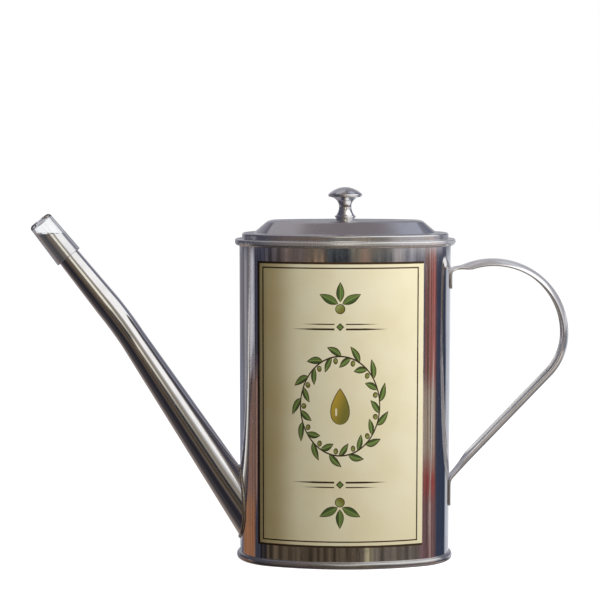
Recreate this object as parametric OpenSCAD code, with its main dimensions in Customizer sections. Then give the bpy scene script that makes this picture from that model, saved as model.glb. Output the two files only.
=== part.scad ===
// Oval olive oil can in polished sheet steel: lift-off lid with a knob, strap handle
// and a long bent spout with a clear pull-off cap. Millimetres, +Z up.
// The origin is the centre of the base. The spout points to -X and the label faces -Y.

/* [Body] */
// Width of the wall across its narrow ends
body_w = 95; // [84:0.5:110]
// Depth of the wall from front to back
body_d = 50; // [45:0.5:56]
// Height from the table to the top of the rim
body_h = 145.4; // [120:0.2:180]
// Radius of the wall's narrow ends, seen from above
end_r = 20; // [18:0.25:22]
// Thickness of the wall's sheet
wall_t = 0.6; // [0.4:0.05:1]

/* [Base] */
// Thickness of the base's sheet
base_t = 0.5; // [0.4:0.05:0.8]
// Height of the bead round the base
bead_h = 3.3; // [2.8:0.1:4.5]
// How far the bead stands out from the wall
bead_out = 1.5; // [1.2:0.1:2.2]
// Radius under the bead, where it curves down to the table
bead_foot_r = 1.2; // [0.8:0.1:1.2]
// Inner radius of the channel that holds the wall's lower edge
channel_r = 0.2; // [0.1:0.05:0.3]
// Height of the pressed panel above the table
panel_z = 2.6; // [1.8:0.1:4]
// How far in from the wall's face the panel steps up
panel_step_in = 6; // [4:0.25:8]
// Height of the panel's step
panel_step_h = 0.8; // [0.4:0.1:1.5]

/* [Rim] */
// Thickness of the ring's sheet
rim_t = 0.6; // [0.4:0.05:0.8]
// Height of the rim's outer band
rim_h = 2.9; // [2.2:0.1:4]
// How far the rim stands out from the wall
rim_out = 2; // [1.6:0.1:3]
// Radius of the rim's lower corner
rim_low_r = 0.9; // [0.7:0.05:1]
// Radius of the rim's upper corner
rim_top_r = 0.7; // [0.65:0.05:0.8]
// Height of the upright collar above the ledge
collar_h = 1.7; // [1:0.1:2]
// Fillet at the foot of the collar
collar_fillet_r = 0.25; // [0.1:0.05:0.25]

/* [Lid] */
// Thickness of the lid's sheet
lid_t = 0.5; // [0.4:0.05:0.7]
// How far the lid's band stands in from the wall's face
lid_inset = 1.2; // [0.8:0.1:2]
// Height of the lid's upright band
band_h = 2.6; // [2.4:0.1:4]
// Outer corner radius above the band
band_corner_r = 0.8; // [0.75:0.05:1]
// Gap between the lid's band and the collar
lid_gap = 0.3; // [0.2:0.05:0.4]
// Width of the flat flange between the band and the dome
flange_w = 5.2; // [4:0.1:6]
// Height of the dome above the flange
dome_h = 5.7; // [4:0.1:6.5]
// Slope of the dome's side
dome_slope = 40; // [38:1:50]
// Fillet at the foot of the dome
dome_foot_r = 1; // [0.5:0.1:1.5]
// Rounding at the edge of the flat top
dome_top_r = 4.6; // [2:0.1:5]

/* [Knob] */
// Diameter of the knob's cap
knob_d = 15.3; // [13:0.1:18]
// Diameter of the knob's waist
knob_waist_d = 5.6; // [5:0.1:6.5]
// Diameter of the lip round the knob's foot
knob_foot_d = 9.4; // [8.5:0.1:11]
// Height of the knob
knob_h = 14.7; // [14:0.1:18]
// Height of the middle of the knob's foot lip
knob_lip_z = 1.5; // [1:0.1:2]
// Radius of the lip's rounded edge
knob_lip_r = 0.5; // [0.3:0.05:0.8]
// Height of the waist, its narrowest place
knob_waist_z = 5.9; // [5.2:0.1:6.2]
// Radius of the cap's rounded edge
knob_edge_r = 0.8; // [0.5:0.05:1]
// Depth of the cap, from its crown to the middle of its edge
knob_cap_h = 3.6; // [3:0.1:3.8]
// Diameter of the screw's shank
screw_d = 3; // [2.5:0.1:3.4]
// Length of the screw inside the knob
screw_grip = 7; // [5:0.5:9]
// Diameter of the screw's head
screw_head_d = 5.6; // [5:0.1:7]
// Height of the screw's head
screw_head_h = 1.6; // [1:0.1:1.7]
// Gap round the screw in each piece that it passes through
screw_gap = 0.1; // [0.05:0.05:0.2]
// Diameter of the washer
washer_d = 10; // [8:0.5:12]
// Thickness of the washer
washer_t = 0.6; // [0.4:0.1:1]

/* [Spout] */
// Height at which the spout's centre line meets the wall
spout_z = 26.2; // [24:0.2:36]
// Slope of the lower length above the horizontal
spout_low_a = 56.8; // [54:0.2:60]
// Slope of the upper length above the horizontal
spout_up_a = 51.5; // [48:0.5:53]
// Length from the wall to the bend
spout_low_l = 97.2; // [80:0.2:110]
// Length from the bend to the middle of the tip
spout_up_l = 51.2; // [40:0.2:65]
// Radius of the bend
spout_bend_r = 100; // [60:5:200]
// Outer diameter at the wall
spout_root_d = 17.6; // [15:0.1:19]
// Outer diameter at the bend
spout_bend_d = 11.8; // [10.5:0.1:13]
// Outer diameter at the tip
spout_tip_d = 9.3; // [8.5:0.1:10.5]
// Thickness of the spout's sheet
spout_t = 0.6; // [0.4:0.05:1]
// Width of the weld round the spout's root
weld_w = 1; // [0.6:0.1:1.4]
// How far the weld stands out from the wall
weld_h = 1.1; // [0.6:0.1:1.6]

/* [Spout cap] */
// Length of spout that the cap covers
cap_grip = 13.5; // [10:0.5:18]
// Height of the cap beyond the middle of the tip
cap_over = 7.6; // [7:0.1:10]
// Outer diameter of the cap's open end
cap_foot_d = 12.5; // [12.3:0.1:14]
// Outer diameter of the cap's closed end
cap_top_d = 11.2; // [11:0.1:12]
// Thickness of the cap's closed end
cap_end_t = 1.5; // [1:0.1:2]
// Rounding of the cap's closed end
cap_round_r = 1.6; // [0.8:0.1:1.8]
// Gap between the cap and the spout
cap_gap = 0.15; // [0.1:0.05:0.25]

/* [Handle] */
// Width of the strap
strap_w = 11; // [9:0.25:13]
// Depth of the strap's channel, from its crest to its edges
strap_depth = 2.6; // [2:0.1:3.2]
// Thickness of the strap's sheet
strap_t = 0.9; // [0.7:0.05:1.2]
// Height of the top of the handle
handle_top_z = 136.4; // [120:0.2:138]
// How far the handle reaches out from the wall
handle_reach = 53.4; // [48:0.2:60]
// Radius of the handle's upper bend, at the crest
handle_top_r = 34.4; // [30:0.2:38]
// Radius of the handle's lower bend, at the crest
handle_low_r = 27.1; // [20:0.5:32]
// Slope of the handle's straight run
handle_run_a = 46.6; // [44:0.2:50]
// Length of the foot that turns down under the upper end
foot_top_l = 5; // [3:0.5:8]
// Length of the foot that lies on the wall under the lower end
foot_low_l = 10.4; // [6:0.2:11]

/* [Label] */
// Width of the label, measured straight across
label_w = 73; // [50:0.5:78]
// How far the label's middle lies from the body's middle
label_x = -2.4; // [-3:0.1:3]
// Bare wall between the base's bead and the label
label_low_gap = 6.4; // [3:0.1:20]
// Bare wall between the label and the rim
label_top_gap = 6; // [3:0.1:20]
// Thickness of the label
label_t = 0.2; // [0.1:0.05:0.3]

/* [Hidden] */
$fn = 96;
// Margin by which a cutting solid runs past what it cuts
cut = 1;
// Segments in each rounded corner of a sheet's section
corner_steps = 5;

// The oval is four arcs: two ends of radius end_r and two sides of radius side_r
end_x = body_w / 2 - end_r;
side_y = (pow(end_x, 2) - pow(body_d / 2 - end_r, 2)) / (2 * (body_d / 2 - end_r));
side_r = body_d / 2 + side_y;

// Heights
wall_z = base_t + channel_r;
rim_low_z = body_h - rim_h;
flange_z = body_h + band_h;
dome_z = flange_z + dome_h;
label_z = bead_h + label_low_gap;
label_h = rim_low_z - label_top_gap - label_z;

// Places in the sheets' sections, measured outwards from the wall's face
lid_face = -lid_inset;
collar_face = lid_face - lid_t - lid_gap;
dome_foot = lid_face - flange_w;
dome_edge = dome_foot - dome_h / tan(dome_slope);
dome_top_start = dome_edge - dome_top_r * tan(dome_slope / 2);
// The sheets' flat middles start at these round numbers, a little inside the pressed steps
lid_fill = floor(10 * dome_top_start - 3) / 10;
panel_fill = -ceil(panel_step_in + 2 * panel_step_h + 1);

// The spout's two lengths are measured to the corner where their centre lines would meet
spout_turn = spout_low_a - spout_up_a;
bend_l = spout_bend_r * tan(spout_turn / 2);
low_cone_l = spout_low_l - bend_l;
up_cone_l = spout_up_l - bend_l;
low_taper = (spout_root_d - spout_bend_d) / low_cone_l;
up_taper = (spout_bend_d - spout_tip_d) / up_cone_l;
tip_z = spout_z + spout_low_l * sin(spout_low_a) + spout_up_l * sin(spout_up_a);
// How far the cones run past the wall and the level tip before they are trimmed
root_over = body_d / 2;
tip_over = spout_tip_d;
reach_over = spout_low_l + spout_up_l + tip_over;
// Both cones run this far into the bend, which is a hair thicker, so that they overlap cleanly
bend_lap = spout_t;
bend_proud = spout_t / 12;

// The handle's two bends share the level of their centres. Each end of the strap runs strap_in
// past the wall before it is trimmed, and the lower bend runs bend_over degrees past that level
handle_x = body_w / 2 + handle_reach;
handle_mid_z = handle_top_z - handle_top_r;
strap_in = 4;
bend_over = 5;
top_bend_a = acos((body_w / 2 - strap_in - handle_x + handle_top_r) / handle_top_r);
low_bend_a = 90 - handle_run_a;
run_x = handle_x - handle_low_r * (1 - cos(low_bend_a));
run_z = handle_mid_z - handle_low_r * sin(low_bend_a);
run_l = (run_x - body_w / 2 + strap_in) / cos(handle_run_a);
wall_low_z = run_z - (run_x - body_w / 2) * tan(handle_run_a);
wall_top_z = handle_mid_z + sqrt(pow(handle_top_r, 2) - pow(handle_reach - handle_top_r, 2));
section_r = (pow(strap_w / 2, 2) + pow(strap_depth, 2)) / (2 * strap_depth);
section_a = asin(strap_w / 2 / section_r);

steel = [0.78, 0.79, 0.80];

// Points along an arc round c, from angle a0 to angle a1
function arc(c, r, a0, a1, steps = corner_steps) =
    [for (i = [0:steps]) c + r * [cos(a0 + (a1 - a0) * i / steps), sin(a0 + (a1 - a0) * i / steps)]];

// Unit vector along the step from p to q
function way(p, q) = (q - p) / norm(q - p);

// Point i of a path, moved by t to the left of the path's direction
function beside(path, i, t) =
    let (last = len(path) - 1)
    let (before = way(path[max(i - 1, 0)], path[max(i, 1)]))
    let (after = way(path[min(i, last - 1)], path[min(i + 1, last)]))
    let (n1 = [-before[1], before[0]], n2 = [-after[1], after[0]])
    path[i] + t * (n1 + n2) / (1 + n1 * n2);

// Closed outline of a sheet of thickness t on the left of a path
function sheet(path, t) =
    concat(path, [for (i = [len(path) - 1:-1:0]) beside(path, i, t)]);

// Move by v in a coarse and a fine step, so that a long fraction keeps all its digits
module moved(v) {
    rough = [for (x = v) round(100 * x) / 100];
    translate(rough) translate(v - rough) children();
}

// Wedge of the plan that holds the end arc on +X
module end_wedge() {
    translate([0, 0, -body_h])
        linear_extrude(3 * body_h)
            polygon([[end_x, 0], [3 * end_x, -2 * side_y], [3 * end_x, 2 * side_y]]);
}

// Part of the plan that holds the side arc on +Y
module side_wedge() {
    translate([0, 0, -body_h])
        linear_extrude(3 * body_h)
            polygon([[end_x, 0], [3 * end_x, 2 * side_y], [-3 * end_x, 2 * side_y], [-end_x, 0]]);
}

// Carries a section round the oval: x is the distance out from the wall's face, y is the height
module round_oval() {
    for (side = [0, 180]) {
        rotate([0, 0, side]) {
            intersection() {
                translate([end_x, 0, 0])
                    rotate([0, 0, 180]) rotate_extrude() translate([end_r, 0]) children();
                end_wedge();
            }
            intersection() {
                moved([0, -side_y, 0])
                    rotate([0, 0, -90]) rotate_extrude() moved([side_r, 0]) children();
                side_wedge();
            }
        }
    }
}

// Solid oval of height h, its edge the distance "out" from the wall's face
module oval_block(out, h) {
    half_d = body_d / 2 + cut;
    for (side = [0, 180]) {
        rotate([0, 0, side]) {
            intersection() {
                translate([end_x, 0, 0]) rotate([0, 0, 180]) rotate_extrude() square([end_r + out, h]);
                end_wedge();
            }
            intersection() {
                moved([0, -side_y, 0])
                    rotate([0, 0, -90])
                        rotate_extrude() moved([side_r, 0]) translate([-half_d, 0]) square([half_d + out, h]);
                side_wedge();
            }
        }
    }
}

// Cylinder that the wall's end arc lies on, at +X or -X by the sign of side, grown by out
module end_block(side, out) {
    translate([side * end_x, 0, -cut])
        rotate([0, 0, 90 + 90 * side]) cylinder(h = body_h + 2 * cut, r = end_r + out);
}

module body_shell() {
    color(steel)
        difference() {
            round_oval() translate([-wall_t, wall_z]) square([wall_t, body_h - rim_t - wall_z]);
            at_spout_root() low_cone(-spout_t);
        }
}

// Outer and lower face of the pressed base, from the bead's lip to the middle panel
function base_path() =
    let (
        bead_r = bead_h / 2,
        lip_a = acos((bead_r - bead_out) / (bead_r - base_t)),
        in = -wall_t - base_t,
        corner = base_t + channel_r
    )
    concat(
        arc([bead_out - bead_r, bead_r], bead_r, lip_a, 0),
        arc([bead_out - bead_foot_r, bead_foot_r], bead_foot_r, 0, -90),
        arc([in + corner, corner], corner, -90, -180),
        arc([in - corner, panel_z - corner], corner, 0, 90),
        [
            [-panel_step_in, panel_z],
            [-panel_step_in - 2 * panel_step_h, panel_z + panel_step_h],
            [panel_fill, panel_z + panel_step_h]
        ]
    );

module base_plate() {
    color(steel) {
        round_oval() polygon(sheet(base_path(), -base_t));
        translate([0, 0, panel_z + panel_step_h]) oval_block(panel_fill, base_t);
    }
}

// Outer face of the ring, from under the rim, over the ledge and up the collar
function ring_path() = concat(
    [[0, rim_low_z]],
    arc([rim_out - rim_low_r, rim_low_z + rim_low_r], rim_low_r, -90, 0),
    arc([rim_out - rim_top_r, body_h - rim_top_r], rim_top_r, 0, 90),
    arc([collar_face + collar_fillet_r, body_h + collar_fillet_r], collar_fillet_r, -90, -180),
    [[collar_face, body_h + collar_h]]
);

module top_ring() {
    color(steel) round_oval() polygon(sheet(ring_path(), rim_t));
}

module label() {
    color([0.87, 0.83, 0.68])
        intersection() {
            round_oval() translate([0, label_z]) square([label_t, label_h]);
            translate([label_x - label_w / 2, -body_d, 0]) cube([label_w, body_d, body_h]);
        }
}

// Frame whose +Z runs up the spout's lower length from the wall
module at_spout_root() {
    translate([-body_w / 2, 0, spout_z]) rotate([0, spout_low_a - 90, 0]) children();
}

// Frame whose +Z runs up the spout's upper length from the end of the bend, seen from the lower frame
module at_spout_bend() {
    translate([-spout_bend_r, 0, low_cone_l])
        rotate([0, -spout_turn, 0])
            translate([spout_bend_r, 0, 0]) children();
}

// The spout's lower cone, grown by "out" on its radius
module low_cone(out) {
    translate([0, 0, -root_over])
        cylinder(
            h = root_over + low_cone_l + bend_lap,
            d1 = spout_root_d + low_taper * root_over + 2 * out,
            d2 = spout_bend_d - low_taper * bend_lap + 2 * out
        );
}

module bend_arc(out) {
    translate([-spout_bend_r, 0, low_cone_l])
        rotate([90, 0, 0])
            rotate_extrude(angle = spout_turn)
                translate([spout_bend_r, 0]) circle(d = spout_bend_d + 2 * bend_proud + 2 * out);
}

module up_cone(out) {
    at_spout_bend()
        translate([0, 0, -bend_lap])
            cylinder(
                h = bend_lap + up_cone_l + tip_over,
                d1 = spout_bend_d + up_taper * bend_lap + 2 * out,
                d2 = spout_tip_d - up_taper * tip_over + 2 * out
            );
}

module spout_solid(out) {
    low_cone(out);
    bend_arc(out);
    up_cone(out);
}

module spout_tube() {
    color(steel)
        difference() {
            at_spout_root()
                difference() {
                    spout_solid(0);
                    spout_solid(-spout_t);
                }
            end_block(-1, 0);
            translate([-body_w / 2 - reach_over, -body_d / 2, tip_z]) cube([reach_over, body_d, body_h]);
        }
}

module spout_weld() {
    color([0.55, 0.53, 0.5])
        difference() {
            intersection() {
                at_spout_root() low_cone(weld_w);
                end_block(-1, weld_h);
            }
            at_spout_root() low_cone(0);
            end_block(-1, 0);
        }
}

module spout_cap() {
    foot_z = up_cone_l - cap_grip;
    end_z = up_cone_l + cap_over;
    hollow_z = end_z - cap_end_t;
    foot_bore_r = (spout_tip_d + up_taper * cap_grip) / 2 + cap_gap;
    hollow_r = (spout_tip_d - up_taper * (hollow_z - up_cone_l)) / 2 + cap_gap;
    color([0.85, 0.88, 0.9, 0.4])
        at_spout_root()
            at_spout_bend()
                rotate_extrude()
                    polygon(concat(
                        [[0, hollow_z], [hollow_r, hollow_z]],
                        [[foot_bore_r, foot_z], [cap_foot_d / 2, foot_z]],
                        arc([cap_top_d / 2 - cap_round_r, end_z - cap_round_r], cap_round_r, 0, 90),
                        [[0, end_z]]
                    ));
}

// Section of the strap: a shallow channel whose crest lies at x = 0
module strap_section() {
    middle = [-section_r, 0];
    polygon(concat(
        arc(middle, section_r, -section_a, section_a, 2 * corner_steps),
        arc(middle, section_r - strap_t, section_a, -section_a, 2 * corner_steps)
    ));
}

// Foot of the strap, wrapped on the wall between heights z0 and z1
module strap_foot(z0, z1) {
    intersection() {
        round_oval() translate([0, z0]) square([strap_t, z1 - z0]);
        translate([0, -strap_w / 2, 0]) cube([body_w, strap_w, body_h]);
    }
}

module handle_strap() {
    color(steel)
        difference() {
            union() {
                translate([handle_x - handle_top_r, 0, handle_mid_z])
                    rotate([90, 0, 0])
                        rotate_extrude(angle = top_bend_a) translate([handle_top_r, 0]) strap_section();
                intersection() {
                    translate([handle_x - handle_low_r, 0, handle_mid_z])
                        rotate([90, 0, 0])
                            rotate([0, 0, -low_bend_a]) {
                                rotate_extrude(angle = low_bend_a + bend_over)
                                    translate([handle_low_r, 0]) strap_section();
                                translate([handle_low_r, 0, 0])
                                    rotate([90, 0, 0]) linear_extrude(run_l) strap_section();
                            }
                    translate([0, -strap_w, 0]) cube([handle_x + cut, 2 * strap_w, handle_mid_z]);
                }
                strap_foot(wall_top_z - strap_depth - foot_top_l, wall_top_z - strap_t);
                strap_foot(wall_low_z - foot_low_l, wall_low_z + strap_depth);
            }
            end_block(1, 0);
        }
}

// Outer face of the lid, from the foot of its band to the edge of its flat top
function lid_path() =
    let (foot_l = dome_foot_r * tan(dome_slope / 2))
    concat(
        [[lid_face, body_h]],
        arc([lid_face - band_corner_r, flange_z - band_corner_r], band_corner_r, 0, 90),
        arc([dome_foot + foot_l, flange_z + dome_foot_r], dome_foot_r, -90, -90 - dome_slope),
        arc([dome_top_start, dome_z - dome_top_r], dome_top_r, 90 - dome_slope, 90),
        [[lid_fill, dome_z]]
    );

module lid_cap() {
    color(steel)
        difference() {
            union() {
                round_oval() polygon(sheet(lid_path(), lid_t));
                translate([0, 0, dome_z - lid_t]) oval_block(lid_fill, lid_t);
            }
            translate([0, 0, dome_z - lid_t - cut])
                cylinder(h = lid_t + 2 * cut, d = screw_d + 2 * screw_gap);
        }
}

// Hollow arc that stands upright at the knob's waist and ends at [x, z], listed from the end
function hollow(x, z) =
    let (
        dx = x - knob_waist_d / 2,
        dz = z - knob_waist_z,
        r = (dx * dx + dz * dz) / (2 * dx)
    )
    arc([knob_waist_d / 2 + r, knob_waist_z], r, 180 - atan2(dz, r - dx), 180);

// Half of the knob's section, from its seat to its crown, with z measured from the lid's top
function knob_path() =
    let (
        lip_x = knob_foot_d / 2 - knob_lip_r,
        edge_x = knob_d / 2 - knob_edge_r,
        edge_z = knob_h - knob_cap_h,
        edge_top = knob_h - knob_edge_r,
        crown_z = (edge_top * edge_top - edge_x * edge_x - edge_z * edge_z) / (2 * (edge_top - edge_z)),
        crown_r = knob_h - crown_z,
        crown_a = atan2(edge_z - crown_z, edge_x),
        low = hollow(lip_x, knob_lip_z + knob_lip_r),
        up = hollow(edge_x, edge_z - knob_edge_r),
        crown = arc([0, crown_z], crown_r, crown_a, 90)
    )
    concat(
        [[0, 0], [lip_x, 0]],
        arc([lip_x, knob_lip_z], knob_lip_r, -90, 90),
        [for (i = [1:corner_steps]) low[i]],
        [for (i = [corner_steps - 1:-1:1]) up[i]],
        arc([edge_x, edge_z], knob_edge_r, -90, crown_a),
        [for (i = [1:corner_steps]) crown[i]]
    );

module lid_knob() {
    color(steel)
        translate([0, 0, dome_z])
            difference() {
                rotate_extrude() polygon(knob_path());
                translate([0, 0, -cut])
                    cylinder(h = cut + screw_grip + screw_gap, d = screw_d + 2 * screw_gap);
            }
}

module knob_washer() {
    color(steel)
        translate([0, 0, dome_z - lid_t - washer_t])
            difference() {
                cylinder(h = washer_t, d = washer_d);
                translate([0, 0, -cut]) cylinder(h = washer_t + 2 * cut, d = screw_d + 2 * screw_gap);
            }
}

module knob_screw() {
    head_z = dome_z - lid_t - washer_t;
    color([0.6, 0.6, 0.62]) {
        translate([0, 0, head_z - screw_head_h]) cylinder(h = screw_head_h, d = screw_head_d);
        translate([0, 0, head_z]) cylinder(h = washer_t + lid_t + screw_grip, d = screw_d);
    }
}

body_shell();
base_plate();
top_ring();
label();
spout_tube();
spout_weld();
spout_cap();
handle_strap();
lid_cap();
lid_knob();
knob_washer();
knob_screw();
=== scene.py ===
"""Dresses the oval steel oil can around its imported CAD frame, and sets up the studio that it stands in.

Every length in the sub-assemblies is in millimetres, in the same axes as the CAD: +Z up, -X towards the
spout, -Y towards the label. Each piece is scaled to metres when it is finished.
"""

import logging
import math
from collections.abc import Callable, Iterable, Sequence
from dataclasses import dataclass, field
from enum import Enum

import bmesh
import bpy
from mathutils import Matrix, Vector, noise


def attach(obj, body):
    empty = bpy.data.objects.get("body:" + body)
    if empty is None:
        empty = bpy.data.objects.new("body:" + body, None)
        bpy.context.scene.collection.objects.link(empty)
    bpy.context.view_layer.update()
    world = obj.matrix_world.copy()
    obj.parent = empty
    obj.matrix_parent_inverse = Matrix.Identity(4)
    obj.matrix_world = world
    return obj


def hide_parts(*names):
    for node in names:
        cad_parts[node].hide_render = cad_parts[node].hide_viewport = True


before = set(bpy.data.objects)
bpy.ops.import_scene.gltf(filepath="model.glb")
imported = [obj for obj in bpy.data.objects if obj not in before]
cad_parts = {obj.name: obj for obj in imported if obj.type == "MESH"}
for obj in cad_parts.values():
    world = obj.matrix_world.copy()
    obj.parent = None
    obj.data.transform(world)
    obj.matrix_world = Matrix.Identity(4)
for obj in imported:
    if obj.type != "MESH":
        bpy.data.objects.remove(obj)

LOG = logging.getLogger("oil_can")
MM = 0.001

Socket = bpy.types.NodeSocket
Colour = tuple[float, float, float]


def srgb(red: float, green: float, blue: float) -> Colour:
    """Linear colour of a display colour.

    Args:
        red: Red from 0 to 255.
        green: Green from 0 to 255.
        blue: Blue from 0 to 255.

    Returns:
        The three linear parts, from 0 to 1.
    """
    parts = []
    for value in (red, green, blue):
        c = value / 255
        parts.append(c / 12.92 if c <= 0.04045 else ((c + 0.055) / 1.055) ** 2.4)
    return parts[0], parts[1], parts[2]


class Body(Enum):
    """The CAD bodies that a piece can ride on."""

    CAN = "can"
    LID = "lid"
    CAP = "cap"


class Slot(Enum):
    """The material slots of the pieces."""

    POLISHED = "polished_steel"
    TURNED = "turned_steel"
    WELD = "weld_metal"
    FASTENER = "fastener_steel"
    LABEL = "label_print"
    CLEAR = "clear_plastic"


# ---- shader helpers


class Graph:
    """Short calls that add nodes to one shader tree."""

    def __init__(self, tree: bpy.types.NodeTree) -> None:
        """Empties the tree.

        Args:
            tree: Tree of a material, a world or a node group.
        """
        self.tree = tree
        tree.nodes.clear()

    def add(self, kind: str, inputs: dict | None = None, **settings: object) -> bpy.types.Node:
        """Adds a node, sets its properties, and sets or links its inputs.

        Args:
            kind: Type name of the node, without its "ShaderNode" prefix.
            inputs: Value or socket for each input, by name or number.
            **settings: Properties of the node.

        Returns:
            The new node.
        """
        node = self.tree.nodes.new(kind if kind.startswith("Node") else "ShaderNode" + kind)
        for name, value in settings.items():
            setattr(node, name, value)
        for key, value in (inputs or {}).items():
            socket = node.inputs[key]
            if isinstance(value, bpy.types.NodeSocket):
                self.tree.links.new(value, socket)
            elif isinstance(value, tuple) and len(value) == 3 and socket.type == "RGBA":
                socket.default_value = (*value, 1.0)
            else:
                socket.default_value = value
        return node

    def calc(self, operation: str, *values: float | Socket, clamp: bool = False) -> Socket:
        """Result of a Math node."""
        return self.add("Math", dict(enumerate(values)), operation=operation, use_clamp=clamp).outputs[0]

    def vector(self, operation: str, a: Socket | tuple, b: Socket | tuple | float) -> Socket:
        """Result of a Vector Math node."""
        key = 3 if operation == "SCALE" else 1
        return self.add("VectorMath", {0: a, key: b}, operation=operation).outputs[0]

    def mix(self, share: float | Socket, a: Colour | Socket, b: Colour | Socket, blend: str = "MIX") -> Socket:
        """Colour between a and b."""
        return self.add("Mix", {0: share, 6: a, 7: b}, data_type="RGBA", blend_type=blend).outputs[2]

    def between(self, share: float | Socket, a: float | Socket, b: float | Socket) -> Socket:
        """Number between a and b."""
        return self.add("Mix", {0: share, 2: a, 3: b}, data_type="FLOAT").outputs[0]

    def step(self, value: Socket, low: float | Socket, high: float | Socket) -> Socket:
        """Smooth step from 0 at low to 1 at high, or from 1 to 0 when high is below low."""
        inputs = {"Value": value, "From Min": low, "From Max": high}
        return self.add("MapRange", inputs, interpolation_type="SMOOTHSTEP").outputs[0]

    def noise(self, place: Socket, scale: float, detail: float = 2.0, rough: float = 0.5) -> Socket:
        """Value of a noise texture, about 0.5 in the middle."""
        inputs = {"Vector": place, "Scale": scale, "Detail": detail, "Roughness": rough}
        return self.add("TexNoise", inputs).outputs[0]

    def ramp(self, value: Socket, stops: Sequence[tuple[float, Colour]], interpolation: str = "LINEAR") -> Socket:
        """Colour ramp.

        Args:
            value: Number that picks the colour.
            stops: Position and linear colour of each stop, in order.
            interpolation: How colours blend between stops.

        Returns:
            The colour.
        """
        node = self.add("ValToRGB", {0: value})
        node.color_ramp.interpolation = interpolation
        points = node.color_ramp.elements
        while len(points) < len(stops):
            points.new(1.0)
        for point, (place, colour) in zip(points, stops):
            point.position = place
            point.color = (*colour, 1.0)
        return node.outputs[0]

    def place_mm(self) -> Socket:
        """Object coordinates in millimetres."""
        return self.vector("SCALE", self.add("TexCoord").outputs["Object"], 1 / MM)

    def split(self, vector: Socket) -> tuple[Socket, Socket, Socket]:
        """The three parts of a vector."""
        out = self.add("SeparateXYZ", {0: vector}).outputs
        return out[0], out[1], out[2]

    def bump(self, height: Socket, strength: float = 1.0) -> Socket:
        """Normal of a height given in millimetres."""
        return self.add("Bump", {"Height": height, "Distance": MM, "Strength": strength}).outputs[0]

    def group(self, tree: bpy.types.NodeTree, inputs: dict) -> bpy.types.Node:
        """Places a node group."""
        node = self.tree.nodes.new("ShaderNodeGroup")
        node.node_tree = tree
        for name, value in inputs.items():
            if isinstance(value, bpy.types.NodeSocket):
                self.tree.links.new(value, node.inputs[name])
            else:
                node.inputs[name].default_value = value
        return node


def new_group(name: str, inputs: dict[str, tuple[str, object]], outputs: dict[str, str]) -> tuple[Graph, dict, Callable]:
    """Starts a shader node group.

    Args:
        name: Name of the group.
        inputs: Kind and plain value of each input.
        outputs: Kind of each output.

    Returns:
        The group's graph, its inputs by name, and a call that links its outputs from a dict.
    """
    tree = bpy.data.node_groups.new(name, "ShaderNodeTree")
    graph = Graph(tree)
    for key, (kind, value) in inputs.items():
        made = tree.interface.new_socket(name=key, in_out="INPUT", socket_type="NodeSocket" + kind)
        if value is not None:
            made.default_value = value
    for key, kind in outputs.items():
        tree.interface.new_socket(name=key, in_out="OUTPUT", socket_type="NodeSocket" + kind)
    source = graph.add("NodeGroupInput")

    def finish(made: dict[str, Socket]) -> None:
        """Links the group's outputs."""
        graph.add("NodeGroupOutput", made)

    return graph, {key: source.outputs[key] for key in inputs}, finish


def new_material(name: str) -> tuple[bpy.types.Material, Graph]:
    """Empty material with its graph."""
    material = bpy.data.materials.new(name)
    material.use_nodes = True
    return material, Graph(material.node_tree)


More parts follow.
